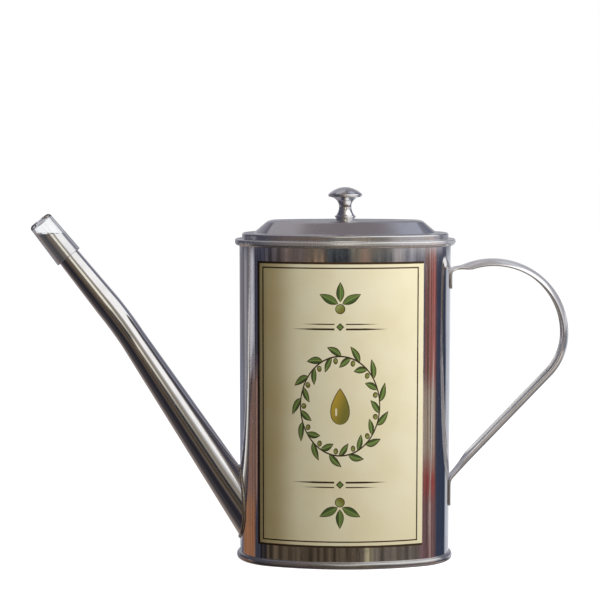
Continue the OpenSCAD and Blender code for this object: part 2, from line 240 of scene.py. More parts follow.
class Effects:
    """The node groups that more than one finish shares, each built once."""

    def __init__(self) -> None:
        """Builds the groups."""
        self.metal = self._metal_marks()
        self.leaf = self._leaf()

    @staticmethod
    def _metal_marks() -> bpy.types.NodeTree:
        """Slow waves, fine grain, smudges and hairline scratches of a worked steel surface.

        Returns:
            A group that gives a roughness, a height in millimetres and a mask of the marks.
        """
        inputs = {
            "Place": ("Vector", None),
            "Stretch": ("Vector", (6.0, 6.0, 0.12)),
            "Waves": ("Float", 0.02),
            "Wave Size": ("Float", 0.04),
            "Grain": ("Float", 0.0004),
            "Brushing": ("Float", 0.08),
            "Roughness": ("Float", 0.1),
            "Smudges": ("Float", 0.08),
            "Scratches": ("Float", 0.001),
        }
        g, have, finish = new_group("metal_marks", inputs, {"Roughness": "Float", "Height": "Float", "Marks": "Float"})
        place = have["Place"]
        waves = g.calc("MULTIPLY", g.noise(place, have["Wave Size"], 1.0), have["Waves"])
        stretched = g.vector("MULTIPLY", place, have["Stretch"])
        grain = g.noise(stretched, 1.0, 3.0, 0.6)
        smudge = g.step(g.noise(place, 0.07, 6.0, 0.62), 0.45, 0.72)
        fine = g.step(g.noise(place, 0.9, 3.0, 0.6), 0.5, 0.75)
        hair = []
        for turn, scale in ((0.35, 0.05), (-0.8, 0.04), (1.35, 0.06)):
            turned = g.add("Mapping", {0: place, "Rotation": (0.3 * turn, turn, turn), "Scale": (1.0, 1.0, 0.035)})
            band = g.calc("ABSOLUTE", g.calc("SUBTRACT", g.noise(turned.outputs[0], scale * 9, 1.0), 0.5))
            where = g.step(g.noise(place, scale, 1.0), 0.52, 0.6)
            hair.append(g.calc("MULTIPLY", g.step(band, 0.004, 0.0), where))
        scratch = g.calc("MAXIMUM", g.calc("MAXIMUM", hair[0], hair[1]), hair[2])
        marks = g.calc("MULTIPLY", g.calc("ADD", smudge, g.calc("MULTIPLY", fine, 0.35)), have["Smudges"])
        rough = g.calc("ADD", have["Roughness"], marks)
        rough = g.calc("ADD", rough, g.calc("MULTIPLY", g.calc("SUBTRACT", grain, 0.5), have["Brushing"]))
        rough = g.calc("ADD", rough, g.calc("MULTIPLY", scratch, 0.12), clamp=True)
        height = g.calc("ADD", waves, g.calc("MULTIPLY", grain, have["Grain"]))
        height = g.calc("SUBTRACT", height, g.calc("MULTIPLY", scratch, have["Scratches"]))
        finish({"Roughness": rough, "Height": height, "Marks": g.calc("MAXIMUM", smudge, scratch)})
        return g.tree

    @staticmethod
    def _leaf() -> bpy.types.NodeTree:
        """A pointed printed leaf that lies along the first axis of its own place.

        Returns:
            A group that gives masks of the leaf, its dark outline and its lighter middle vein.
        """
        inputs = {
            "Along": ("Float", 0.0),
            "Across": ("Float", 0.0),
            "Half Length": ("Float", 4.0),
            "Half Width": ("Float", 1.6),
            "Line": ("Float", 0.32),
        }
        g, have, finish = new_group("printed_leaf", inputs, {"Leaf": "Float", "Outline": "Float", "Vein": "Float"})
        t = g.calc("DIVIDE", have["Along"], have["Half Length"])
        bow = g.calc("SUBTRACT", 1.0, g.calc("MULTIPLY", t, t))
        lean = g.calc("MAXIMUM", g.calc("ADD", 1.0, g.calc("MULTIPLY", t, -0.22)), 0.1)
        edge = g.calc("MULTIPLY", g.calc("MULTIPLY", bow, lean), have["Half Width"])
        room = g.calc("SUBTRACT", edge, g.calc("ABSOLUTE", have["Across"]))
        soft = 0.07
        leaf = g.step(room, -soft, soft)
        inner = g.step(g.calc("SUBTRACT", room, have["Line"]), -soft, soft)
        outline = g.calc("SUBTRACT", leaf, inner, clamp=True)
        vein = g.calc("MULTIPLY", g.step(g.calc("ABSOLUTE", have["Across"]), 0.2, 0.06), inner)
        finish({"Leaf": leaf, "Outline": outline, "Vein": vein})
        return g.tree


# ---- finishes


@dataclass(frozen=True)
class SteelFinish:
    """A bare steel surface."""

    name: str
    tint: Colour = (0.80, 0.79, 0.785)
    shade: Colour = (0.66, 0.65, 0.65)
    roughness: float = 0.10
    smudges: float = 0.07
    waves: float = 0.02
    wave_size: float = 0.04
    grain: float = 0.0004
    stretch: Colour = (6.0, 6.0, 0.12)
    turn: Colour = (0.0, 0.0, 0.0)
    scratches: float = 0.001
    metallic: float = 1.0

    def build(self, effects: Effects) -> bpy.types.Material:
        """Makes the material.

        Args:
            effects: The shared node groups.

        Returns:
            The material.
        """
        material, g = new_material(self.name)
        place = g.add("Mapping", {0: g.place_mm(), "Rotation": self.turn}).outputs[0]
        marks = g.group(
            effects.metal,
            {
                "Place": place,
                "Stretch": self.stretch,
                "Waves": self.waves,
                "Wave Size": self.wave_size,
                "Grain": self.grain,
                "Roughness": self.roughness,
                "Smudges": self.smudges,
                "Scratches": self.scratches,
            },
        )
        colour = g.mix(g.calc("MULTIPLY", marks.outputs["Marks"], 0.5), self.tint, self.shade)
        shader = g.add(
            "BsdfPrincipled",
            {
                "Base Color": colour,
                "Metallic": self.metallic,
                "Roughness": marks.outputs["Roughness"],
                "Normal": g.bump(marks.outputs["Height"]),
            },
        )
        g.add("OutputMaterial", {"Surface": shader.outputs[0]})
        return material


@dataclass(frozen=True)
class WeldFinish:
    """Rippled filler metal with a straw and blue heat tint beside it."""

    name: str = "weld_bead"
    bright: Colour = srgb(200, 198, 196)
    straw: Colour = srgb(182, 164, 136)
    blue: Colour = srgb(150, 152, 166)
    ripple_mm: float = 1.1

    def build(self, effects: Effects) -> bpy.types.Material:
        """Makes the material.

        Args:
            effects: The shared node groups.

        Returns:
            The material.
        """
        material, g = new_material(self.name)
        place = g.place_mm()
        marks = g.group(effects.metal, {"Place": place, "Roughness": 0.26, "Smudges": 0.2, "Waves": 0.02, "Wave Size": 0.5})
        _, y, z = g.split(place)
        along = g.calc("ADD", z, g.calc("MULTIPLY", g.noise(place, 0.6), 1.5))
        ripple = g.calc("SINE", g.calc("MULTIPLY", along, 2 * math.pi / self.ripple_mm))
        height = g.calc("ADD", marks.outputs["Height"], g.calc("MULTIPLY", ripple, 0.012))
        tint = g.ramp(g.noise(place, 0.25, 2.0), [(0.35, self.bright), (0.5, self.straw), (0.62, self.bright), (0.72, self.blue)])
        shader = g.add(
            "BsdfPrincipled",
            {"Base Color": tint, "Metallic": 1.0, "Roughness": marks.outputs["Roughness"], "Normal": g.bump(height)},
        )
        g.add("OutputMaterial", {"Surface": shader.outputs[0]})
        return material


@dataclass(frozen=True)
class ClearFinish:
    """Clear moulded plastic with faint flow lines."""

    name: str = "clear_plastic"
    tint: Colour = (0.975, 0.985, 0.995)
    ior: float = 1.49

    def build(self, effects: Effects) -> bpy.types.Material:
        """Makes the material.

        Args:
            effects: The shared node groups.

        Returns:
            The material.
        """
        material, g = new_material(self.name)
        marks = g.group(
            effects.metal,
            {
                "Place": g.place_mm(),
                "Roughness": 0.0,
                "Smudges": 0.0,
                "Waves": 0.006,
                "Wave Size": 0.12,
                "Grain": 0.0,
                "Brushing": 0.0,
                "Scratches": 0.0,
            },
        )
        shader = g.add(
            "BsdfPrincipled",
            {
                "Base Color": self.tint,
                "Metallic": 0.0,
                "Transmission Weight": 1.0,
                "IOR": self.ior,
                "Roughness": marks.outputs["Roughness"],
                "Normal": g.bump(marks.outputs["Height"]),
            },
        )
        g.add("OutputMaterial", {"Surface": shader.outputs[0]})
        return material


@dataclass(frozen=True)
class LabelFinish:
    """Cream printed label: a double frame, a wreath round a drop of oil, and two ruled ornaments.

    Sizes are in millimetres on the flat label, measured from its lower left corner.
    """

    name: str = "label_print"
    width: float = 75.0
    height: float = 126.8
    cream: Colour = srgb(237, 230, 201)
    cream_low: Colour = srgb(232, 223, 188)
    # Painted shade: a warm darkening multiplied over the label's left edge, standing in for the shade on the spout
    # side.
    painted_left_shade: Colour = (0.66, 0.6, 0.47)
    ink: Colour = srgb(62, 48, 32)
    green: Colour = srgb(104, 128, 66)
    green_dark: Colour = srgb(62, 84, 44)
    green_light: Colour = srgb(158, 172, 104)
    olive: Colour = srgb(120, 116, 52)
    gold: Colour = srgb(178, 150, 58)
    frame_line: float = 0.95
    inner_line: float = 0.6
    inner_gap: float = 2.35
    wreath_radius: float = 17.5
    wreath_stretch: float = 1.26
    wreath_pairs: int = 13
    rule_half: float = 21.0

    def build(self, effects: Effects) -> bpy.types.Material:
        """Makes the material.

        Args:
            effects: The shared node groups.

        Returns:
            The material.
        """
        material, g = new_material(self.name)
        flat = g.add("UVMap", uv_map="label_mm").outputs[0]
        u, v, _ = g.split(flat)
        u = g.calc("SUBTRACT", u, self.width / 2)
        v = g.calc("SUBTRACT", v, self.height / 2)
        place = g.place_mm()
        paper = g.mix(g.step(g.noise(place, 0.05, 4.0), 0.35, 0.7), self.cream, self.cream_low)
        paper = g.mix(g.calc("MULTIPLY", g.step(g.noise(place, 2.2, 3.0), 0.55, 0.8), 0.25), paper, self.cream_low)
        colour = self._wreath(g, effects, u, v, paper)
        colour = self._drop(g, u, v, colour)
        for side in (1.0, -1.0):
            colour = self._ornament(g, effects, u, g.calc("MULTIPLY", v, side), colour)
        colour = self._frame(g, u, v, colour)
        wear = g.calc("MULTIPLY", g.step(g.noise(place, 3.5, 4.0, 0.7), 0.62, 0.8), 0.18)
        colour = g.mix(wear, colour, self.cream)
        # Painted shade: darkens and warms the label towards its left edge, where less light falls.
        colour = g.mix(g.step(u, -17.0, -31.0), colour, self.painted_left_shade, "MULTIPLY")
        rough = g.between(g.noise(place, 0.12, 4.0), 0.34, 0.5)
        height = g.calc("MULTIPLY", g.noise(place, 4.0, 3.0), 0.004)
        shader = g.add(
            "BsdfPrincipled",
            {
                "Base Color": colour,
                "Roughness": rough,
                "Specular IOR Level": 0.2,
                "Normal": g.bump(height),
            },
        )
        g.add("OutputMaterial", {"Surface": shader.outputs[0]})
        return material

    def _frame(self, g: Graph, u: Socket, v: Socket, under: Socket) -> Socket:
        """Draws the two frame lines. The outer one is missing at the right edge, where the sheet was cut."""
        side = g.calc("SUBTRACT", self.width / 2, g.calc("ABSOLUTE", u))
        end = g.calc("SUBTRACT", self.height / 2, g.calc("ABSOLUTE", v))
        depth = g.calc("MINIMUM", side, end)
        middle = self.inner_gap + self.inner_line / 2
        inner = g.step(g.calc("ABSOLUTE", g.calc("SUBTRACT", depth, middle)), self.inner_line / 2 + 0.08, self.inner_line / 2 - 0.08)
        left = g.calc("ADD", u, self.width / 2)
        outer = g.step(g.calc("MINIMUM", left, end), self.frame_line + 0.08, self.frame_line - 0.08)
        lines = g.calc("MAXIMUM", inner, outer)
        return g.mix(lines, under, self.ink)

    def _print_leaf(self, g: Graph, effects: Effects, along: Socket, across: Socket, length: float, width: float, under: Socket) -> Socket:
        """Draws one leaf.

        Args:
            g: The material's graph.
            effects: The shared node groups.
            along: Place along the leaf from its middle.
            across: Place across the leaf from its vein.
            length: Half its length.
            width: Half its width.
            under: Colour below it.

        Returns:
            The colour with the leaf on it.
        """
        leaf = g.group(effects.leaf, {"Along": along, "Across": across, "Half Length": length, "Half Width": width})
        tone = g.step(across, -0.9 * width, 0.7 * width)
        green = g.mix(tone, self.green_dark, self.green)
        green = g.mix(g.calc("MULTIPLY", leaf.outputs["Vein"], 0.75), green, self.green_light)
        colour = g.mix(leaf.outputs["Leaf"], under, green)
        return g.mix(leaf.outputs["Outline"], colour, self.ink)

    def _spot(self, g: Graph, du: Socket, dv: Socket, radius: float, inside: Colour, under: Socket) -> Socket:
        """Draws a round fruit with a dark outline and a paler upper left.

        Args:
            g: The material's graph.
            du: Place across from the fruit's middle.
            dv: Place up from the fruit's middle.
            radius: Its radius.
            inside: Its colour.
            under: Colour below it.

        Returns:
            The colour with the fruit on it.
        """
        away = g.calc("SQRT", g.calc("ADD", g.calc("MULTIPLY", du, du), g.calc("MULTIPLY", dv, dv)))
        disc = g.step(away, radius + 0.07, radius - 0.07)
        core = g.step(away, radius - 0.25, radius - 0.39)
        light = g.step(g.calc("SUBTRACT", dv, du), -radius, 1.6 * radius)
        fruit = g.mix(light, inside, self.green_light)
        return g.mix(core, g.mix(disc, under, self.ink), fruit)

    def _wreath(self, g: Graph, effects: Effects, u: Socket, v: Socket, under: Socket) -> Socket:
        """Draws the oval wreath: a thin stem, and leaves that lean in and out by turns, with a fruit between."""
        tall = g.calc("DIVIDE", v, self.wreath_stretch)
        around = g.calc("ARCTAN2", tall, u)
        radius = g.calc("SQRT", g.calc("ADD", g.calc("MULTIPLY", u, u), g.calc("MULTIPLY", tall, tall)))
        out = g.calc("SUBTRACT", radius, self.wreath_radius)
        colour = g.mix(g.step(g.calc("ABSOLUTE", out), 0.34, 0.2), under, self.ink)
        cell = 2 * math.pi / self.wreath_pairs
        tilt = math.radians(36)
        for shift, sign in ((0.0, 1.0), (0.5, -1.0)):
            turn = g.calc("ADD", g.calc("DIVIDE", around, cell), self.wreath_pairs + shift)
            local = g.calc("SUBTRACT", g.calc("FRACT", turn), 0.5)
            a = g.calc("MULTIPLY", local, cell * self.wreath_radius)
            b = g.calc("SUBTRACT", g.calc("MULTIPLY", out, sign), 2.0)
            along = g.calc("ADD", g.calc("MULTIPLY", a, math.cos(tilt)), g.calc("MULTIPLY", b, math.sin(tilt)))
            across = g.calc("SUBTRACT", g.calc("MULTIPLY", b, math.cos(tilt)), g.calc("MULTIPLY", a, math.sin(tilt)))
            colour = self._print_leaf(g, effects, along, across, 3.3, 1.25, colour)
            if sign > 0:
                colour = self._spot(g, g.calc("SUBTRACT", a, 0.1), g.calc("ADD", out, 1.5), 1.1, self.olive, colour)
        return colour

    def _drop(self, g: Graph, u: Socket, v: Socket, under: Socket) -> Socket:
        """Draws the drop of oil in the wreath's middle."""
        height = 8.2
        t = g.calc("DIVIDE", g.calc("ADD", v, height), 2 * height, clamp=True)
        rise = g.calc("POWER", t, 0.5)
        fall = g.calc("POWER", g.calc("SUBTRACT", 1.0, t), 0.95)
        half = g.calc("MULTIPLY", g.calc("MULTIPLY", rise, fall), 11.2)
        room = g.calc("SUBTRACT", half, g.calc("ABSOLUTE", u))
        drop = g.step(room, 0.03, 0.17)
        core = g.step(room, 0.38, 0.52)
        shade = g.step(g.calc("ADD", u, g.calc("MULTIPLY", v, -0.3)), -3.5, 3.5)
        oil = g.mix(shade, self.gold, self.olive)
        glint = g.step(g.calc("ABSOLUTE", g.calc("SUBTRACT", g.calc("DIVIDE", g.calc("ADD", u, 1.7), 1.0), 0.0)), 0.5, 0.2)
        glint = g.calc("MULTIPLY", glint, g.step(g.calc("ABSOLUTE", g.calc("ADD", v, 2.6)), 1.9, 1.3))
        oil = g.mix(glint, oil, self.cream)
        return g.mix(core, g.mix(drop, under, self.ink), oil)

    def _ornament(self, g: Graph, effects: Effects, u: Socket, v: Socket, under: Socket) -> Socket:
        """Draws the ruled ornament above the wreath: two rules that meet in a diamond, with leaves and a fruit over it."""
        side = g.calc("ABSOLUTE", u)
        colour = under
        for rule_v, half, thick in ((34.0, self.rule_half, 0.42), (36.2, self.rule_half * 0.8, 0.26)):
            up = g.calc("ABSOLUTE", g.calc("SUBTRACT", v, rule_v))
            taper = g.calc("MULTIPLY", g.calc("SUBTRACT", 1.0, g.calc("DIVIDE", side, half)), thick * 2.2)
            room = g.calc("SUBTRACT", g.calc("MINIMUM", taper, thick), up)
            line = g.calc("MULTIPLY", g.step(room, -0.06, 0.06), g.step(side, 2.4, 2.6))
            colour = g.mix(line, colour, self.ink)
        gem = g.calc("ADD", side, g.calc("ABSOLUTE", g.calc("SUBTRACT", v, 35.0)))
        colour = g.mix(g.step(gem, 1.9, 1.7), colour, self.ink)
        colour = g.mix(g.step(gem, 1.3, 1.15), colour, self.green)
        tilt = math.radians(28)
        a = g.calc("SUBTRACT", side, 5.0)
        b = g.calc("SUBTRACT", v, 47.3)
        along = g.calc("ADD", g.calc("MULTIPLY", a, math.cos(tilt)), g.calc("MULTIPLY", b, math.sin(tilt)))
        across = g.calc("SUBTRACT", g.calc("MULTIPLY", b, math.cos(tilt)), g.calc("MULTIPLY", a, math.sin(tilt)))
        colour = self._print_leaf(g, effects, along, across, 4.6, 1.9, colour)
        upright = self._print_leaf(g, effects, g.calc("SUBTRACT", v, 50.4), u, 4.4, 1.75, colour)
        return self._spot(g, u, g.calc("SUBTRACT", v, 42.9), 2.2, self.olive, upright)


@dataclass
class Finishes:
    """Every material of the object, built once."""

    effects: Effects = field(default_factory=Effects)

    def __post_init__(self) -> None:
        """Builds the materials."""
        steel = SteelFinish
        self.wall = steel("wall_steel", roughness=0.06, waves=0.035, wave_size=0.028).build(self.effects)
        self.inside = steel("inside_steel", roughness=0.34, smudges=0.12, scratches=0.002, metallic=0.7).build(self.effects)
        self.base = steel(
            "base_steel", tint=(0.55, 0.54, 0.535), roughness=0.14, smudges=0.05, stretch=(1.0, 1.0, 5.0), metallic=0.96
        ).build(self.effects)
        self.ring = steel(
            "ring_steel", tint=(0.80, 0.79, 0.79), roughness=0.19, smudges=0.05, stretch=(0.5, 0.5, 7.0), metallic=0.88
        ).build(self.effects)
        self.lid = steel("lid_steel", tint=(0.79, 0.785, 0.785), roughness=0.16, smudges=0.04, waves=0.012).build(self.effects)
        self.knob = steel("knob_steel", tint=(0.92, 0.915, 0.91), roughness=0.08, smudges=0.06, stretch=(0.4, 0.4, 9.0), grain=0.0012).build(self.effects)
        self.spout = steel(
            "spout_steel", roughness=0.07, smudges=0.04, stretch=(7.0, 7.0, 0.1), turn=(0.0, math.radians(-34), 0.0)
        ).build(self.effects)
        self.strap = steel(
            "strap_steel", tint=(0.92, 0.915, 0.91), roughness=0.16, smudges=0.04, stretch=(1.0, 8.0, 1.0), metallic=0.86
        ).build(self.effects)
        self.fastener = steel("fastener_steel", roughness=0.3, smudges=0.1, stretch=(0.5, 0.5, 6.0)).build(self.effects)
        self.weld = WeldFinish().build(self.effects)
        self.clear = ClearFinish().build(self.effects)
        self.label = LabelFinish().build(self.effects)


# ---- mesh helpers


class Pen:
    """Draws a wire section from point to point with lines and arcs, x outwards and z up."""

    def __init__(self, bm: bmesh.types.BMesh, x: float, z: float) -> None:
        """Puts the pen down at its first point."""
        self.bm = bm
        self.tip = bmesh.ops.create_vert(bm, co=(x, 0, z))["vert"][0]
        self.first = self.tip

    def line(self, x: float, z: float) -> "Pen":
        """Draws a straight line to a point."""
        self.tip = bmesh.ops.extrude_vert_indiv(self.bm, verts=[self.tip])["verts"][0]
        self.tip.co = Vector((x, 0, z))
        return self

    def turn(self, x: float, z: float, degrees: float, steps: int = 6) -> "Pen":
        """Draws an arc.

        Args:
            x: Centre of the arc, outwards.
            z: Centre of the arc, upwards.
            degrees: Angle of the arc, against the clock when positive.
            steps: Lines in the arc.

        Returns:
            The pen.
        """
        made = bmesh.ops.spin(
            self.bm, geom=[self.tip], cent=(x, 0, z), axis=(0, -1, 0), angle=math.radians(degrees), steps=steps
        )
        self.tip = next(g for g in made["geom_last"] if isinstance(g, bmesh.types.BMVert))
        return self

    def close(self) -> None:
        """Joins the last point to the first."""
        self.bm.edges.new((self.tip, self.first))

    def chain(self) -> list[Vector]:
        """The drawn points in order from the first one."""
        points, before, here = [self.first.co.copy()], None, self.first
        while True:
            onward = [e.other_vert(here) for e in here.link_edges if e.other_vert(here) is not before]
            if not onward or onward[0] is self.first:
                return points
            before, here = here, onward[0]
            points.append(here.co.copy())


def everything(bm: bmesh.types.BMesh) -> list:
    """All vertices, edges and faces of a mesh."""
    return [*bm.verts, *bm.edges, *bm.faces]


def weld(bm: bmesh.types.BMesh, distance: float = 0.004) -> None:
    """Merges doubled vertices and turns every face outwards."""
    bmesh.ops.remove_doubles(bm, verts=list(bm.verts), dist=distance)
    bmesh.ops.recalc_face_normals(bm, faces=list(bm.faces))


def revolve(bm: bmesh.types.BMesh, steps: int = 96) -> None:
    """Spins a wire section once round the Z axis and closes it at its poles."""
    bmesh.ops.spin(bm, geom=everything(bm), cent=(0, 0, 0), axis=(0, 0, 1), angle=2 * math.pi, steps=steps, use_merge=True)
    weld(bm)


def sweep(bm: bmesh.types.BMesh, edges: list, frames: Sequence[Matrix]) -> list:
    """Carries edges from the first frame through the rest, with a face for each edge and step.

    Args:
        bm: Mesh that holds the edges, which lie in the first frame.
        edges: Edges of the section.
        frames: Frames along the way.

    Returns:
        The edges in the last frame.
    """
    for before, here in zip(frames, frames[1:]):
        made = bmesh.ops.extrude_edge_only(bm, edges=edges)["geom"]
        verts = [g for g in made if isinstance(g, bmesh.types.BMVert)]
        edges = [g for g in made if isinstance(g, bmesh.types.BMEdge) and all(w in verts for w in g.verts)]
        bmesh.ops.transform(bm, matrix=here @ before.inverted(), verts=verts)
    return edges


@dataclass(frozen=True)
class Oval:
    """Plan of the can: two end arcs and two side arcs that run into each other smoothly."""

    end_x: float = 27.5
    end_r: float = 20.0
    side_y: float = 73.125
    side_r: float = 98.125
    end_steps: int = 18
    side_steps: int = 20

    @property
    def end_half(self) -> float:
        """Half the angle of an end arc."""
        return math.atan2(self.side_y, self.end_x)

    @property
    def side_full(self) -> float:
        """Angle of a side arc."""
        return math.pi - 2 * self.end_half

    @property
    def half_width(self) -> float:
        """Distance from the middle to the wall's face on the X axis."""
        return self.end_x + self.end_r

    def carry(self, bm: bmesh.types.BMesh) -> None:
        """Carries the wire section in bm once round the oval. Its x is measured outwards from the wall's face."""
        bmesh.ops.translate(bm, vec=(self.half_width, 0, 0), verts=list(bm.verts))
        geom = everything(bm)
        turns = (
            (self.end_x, 0, self.end_half, self.end_steps),
            (0, -self.side_y, self.side_full, self.side_steps),
            (-self.end_x, 0, 2 * self.end_half, 2 * self.end_steps),
            (0, self.side_y, self.side_full, self.side_steps),
            (self.end_x, 0, self.end_half, self.end_steps),
        )
        for x, y, angle, steps in turns:
            made = bmesh.ops.spin(bm, geom=geom, cent=(x, y, 0), axis=(0, 0, 1), angle=angle, steps=steps)
            geom = made["geom_last"]
        weld(bm)

    def face_point(self, x: float, out: float) -> tuple[float, float]:
        """Point of the label's side at a given x.

        Args:
            x: Place on the X axis.
            out: Distance out from the wall's face.

        Returns:
            The y of the point, and its distance along the curve from the middle of the label's side.
        """
        side_x = (self.side_r + out) * math.cos(self.end_half)
        side_length = (self.side_r + out) * (math.pi / 2 - self.end_half)
        if abs(x) <= side_x:
            y = self.side_y - math.sqrt((self.side_r + out) ** 2 - x * x)
            return y, (self.side_r + out) * math.asin(x / (self.side_r + out))
        radius = self.end_r + out
        local = abs(x) - self.end_x
        turned = math.asin(local / radius) - (math.pi / 2 - self.end_half)
        return -math.sqrt(radius**2 - local**2), math.copysign(side_length + radius * turned, x)


class Bench:
    """Turns finished bmeshes into pieces of the object, and lists them in the log."""

    def __init__(self) -> None:
        """Starts with no pieces."""
        self.made = 0

    def finish(
        self,
        name: str,
        bm: bmesh.types.BMesh,
        body: Body,
        slot: Slot,
        material: bpy.types.Material,
        node: str,
        sharp: float = 34.0,
        weighted: bool = True,
    ) -> bpy.types.Object:
        """Makes the object of a piece in metres, hangs it on its body, hides the CAD node that it stands for, and logs
        it.

        Args:
            name: Name of the piece.
            bm: Its mesh in millimetres, which is freed.
            body: CAD body that it rides on.
            slot: Material slot; not used.
            material: Its finish.
            node: CAD node that it stands for.
            sharp: Angle in degrees past which an edge stays sharp.
            weighted: Whether flat faces keep their plain shading beside rounded edges.

        Returns:
            The object.
        """
        bmesh.ops.scale(bm, vec=(MM, MM, MM), verts=list(bm.verts))
        mesh = bpy.data.meshes.new(name)
        bm.to_mesh(mesh)
        bm.free()
        mesh.shade_smooth()
        mesh.set_sharp_from_angle(angle=math.radians(sharp))
        mesh.materials.append(material)
        piece = bpy.data.objects.new(name, mesh)
        bpy.context.scene.collection.objects.link(piece)
        if weighted:
            shading = piece.modifiers.new("flat_faces_first", "WEIGHTED_NORMAL")
            shading.keep_sharp = True
        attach(piece, body.value)
        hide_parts(node)
        self.made += 1
        LOG.info("%s: %d faces on %s", name, len(mesh.polygons), body.value)
        return piece

    @staticmethod
    def dull_inside(piece: bpy.types.Object, material: bpy.types.Material) -> None:
        """Gives the faces that look at the can's own axis another finish.

        Args:
            piece: Wall that goes round the axis.
            material: Finish of its inner side.
        """
        piece.data.materials.append(material)
        for face in piece.data.polygons:
            if face.normal.xy.dot(face.center.xy) < 0:
                face.material_index = 1


def cut_away(bm: bmesh.types.BMesh, cutter: bmesh.types.BMesh) -> bmesh.types.BMesh:
    """Takes one closed mesh out of another.

    Args:
        bm: Mesh to cut, which is freed.
        cutter: Mesh to take away, which is freed.

    Returns:
        The cut mesh.
    """
    objects = []
    for part in (bm, cutter):
        mesh = bpy.data.meshes.new("cutting")
        part.to_mesh(mesh)
        part.free()
        made = bpy.data.objects.new("cutting", mesh)
        bpy.context.scene.collection.objects.link(made)
        objects.append(made)
    cutting = objects[0].modifiers.new("cut", "BOOLEAN")
    cutting.operation = "DIFFERENCE"
    cutting.solver = "EXACT"
    cutting.object = objects[1]
    result = bmesh.new()
    result.from_object(objects[0], bpy.context.evaluated_depsgraph_get())
    for made in objects:
        mesh = made.data
        bpy.data.objects.remove(made)
        bpy.data.meshes.remove(mesh)
    return result


# ---- sub-assemblies


@dataclass
class CanBody:
    """The wall, the pressed base and the rolled top ring."""

    oval: Oval
    wall_t: float = 0.6
    wall_low: float = 0.7
    wall_top: float = 144.8
    base_t: float = 0.5
    bead_out: float = 1.5
    bead_r: float = 1.65
    bead_foot_r: float = 1.2
    channel_r: float = 0.7
    panel_z: float = 2.6
    panel_in: float = 6.0
    panel_step: float = 0.8
    rim_low: float = 142.5
    rim_top: float = 145.4
    rim_out: float = 2.0
    rim_low_r: float = 1.3
    rim_top_r: float = 0.7
    rim_tilt: float = 2.5
    rim_t: float = 0.6
    collar_in: float = 2.0
    collar_r: float = 0.25
    collar_top: float = 147.1

    def build_wall(self, spout: "Spout") -> bmesh.types.BMesh:
        """The wall, with the hole that the spout opens through."""
        bm = bmesh.new()
        pen = Pen(bm, 0, self.wall_low).line(0, self.wall_top)
        pen.line(-self.wall_t, self.wall_top).line(-self.wall_t, self.wall_low).close()
        self.oval.carry(bm)
        return cut_away(bm, spout.build_bore())

    def build_base(self) -> bmesh.types.BMesh:
        """The base: a half-round bead outside, a channel under the wall, and a raised middle panel."""
        bm = bmesh.new()
        lip = math.degrees(math.acos((self.bead_r - self.bead_out) / (self.bead_r - self.base_t)))
        turned = math.radians(lip)
        centre_x = self.bead_out - self.bead_r
        start = (centre_x + self.bead_r * math.cos(turned), self.bead_r * (1 + math.sin(turned)))
        foot_x = self.bead_out - self.bead_foot_r
        channel_x = -self.wall_t - self.base_t + self.channel_r
        pen = Pen(bm, *start).turn(centre_x, self.bead_r, -lip, 10)
        pen.line(self.bead_out, self.bead_foot_r).turn(foot_x, self.bead_foot_r, -90, 7)
        pen.line(channel_x, 0).turn(channel_x, self.channel_r, -90, 5)
        up_z = self.panel_z - self.channel_r
        up_x = channel_x - self.channel_r
        pen.line(up_x, up_z).turn(up_x - self.channel_r, up_z, 90, 5)
        low = -self.panel_in - 2 * self.panel_step
        pen.line(-self.panel_in, self.panel_z).line(low, self.panel_z + self.panel_step)
        pen.line(low - 0.6, self.panel_z + self.panel_step)
        self.oval.carry(bm)
        close_middle(bm)
        bmesh.ops.solidify(bm, geom=list(bm.faces), thickness=self.base_t)
        weld(bm)
        return bm

    def build_ring(self) -> bmesh.types.BMesh:
        """The rolled ring: a lip over the wall, a ledge, and the collar that the lid fits round."""
        bm = bmesh.new()
        pen = Pen(bm, 0.02, self.rim_low).line(self.rim_out - self.rim_low_r, self.rim_low)
        lean = math.radians(self.rim_tilt)
        top_z = self.rim_top - self.rim_top_r
        low_x, low_z = self.rim_out - self.rim_low_r, self.rim_low + self.rim_low_r
        reach = low_x * math.cos(lean) + (low_z - top_z) * math.sin(lean) + self.rim_low_r - self.rim_top_r
        top_x = reach / math.cos(lean)
        pen.turn(low_x, low_z, 90 + self.rim_tilt, 7)
        pen.line(top_x + self.rim_top_r * math.cos(lean), top_z + self.rim_top_r * math.sin(lean))
        pen.turn(top_x, top_z, 90 - self.rim_tilt, 7)
        pen.line(-self.collar_in + self.collar_r, self.rim_top)
        pen.turn(-self.collar_in + self.collar_r, self.rim_top + self.collar_r, -90, 4)
        pen.line(-self.collar_in, self.collar_top)
        self.oval.carry(bm)
        bmesh.ops.solidify(bm, geom=list(bm.faces), thickness=self.rim_t)
        weld(bm)
        return bm

    def build(self, bench: Bench, finishes: Finishes, spout: "Spout") -> None:
        """Builds and dresses the three pieces."""
        wall = bench.finish("can_wall", self.build_wall(spout), Body.CAN, Slot.POLISHED, finishes.wall, "body_shell", weighted=False)
        bench.dull_inside(wall, finishes.inside)
        bench.finish("can_base", self.build_base(), Body.CAN, Slot.POLISHED, finishes.base, "base_plate")
        bench.finish("can_top_ring", self.build_ring(), Body.CAN, Slot.POLISHED, finishes.ring, "top_ring")


def close_middle(bm: bmesh.types.BMesh) -> None:
    """Fills the inner of the two open loops of a swept section with one flat face."""
    open_edges = [e for e in bm.edges if e.is_boundary]
    nearest = min(abs(v.co.y) for e in open_edges for v in e.verts if abs(v.co.x) < 2)
    inner = [e for e in open_edges if all(in_loop(v, nearest) for v in e.verts)]
    bmesh.ops.contextual_create(bm, geom=inner)
    bmesh.ops.recalc_face_normals(bm, faces=list(bm.faces))


def in_loop(vert: bmesh.types.BMVert, half_depth: float) -> bool:
    """Whether a vertex lies within an oval's half depth of the X axis."""
    return abs(vert.co.y) <= half_depth + 0.01


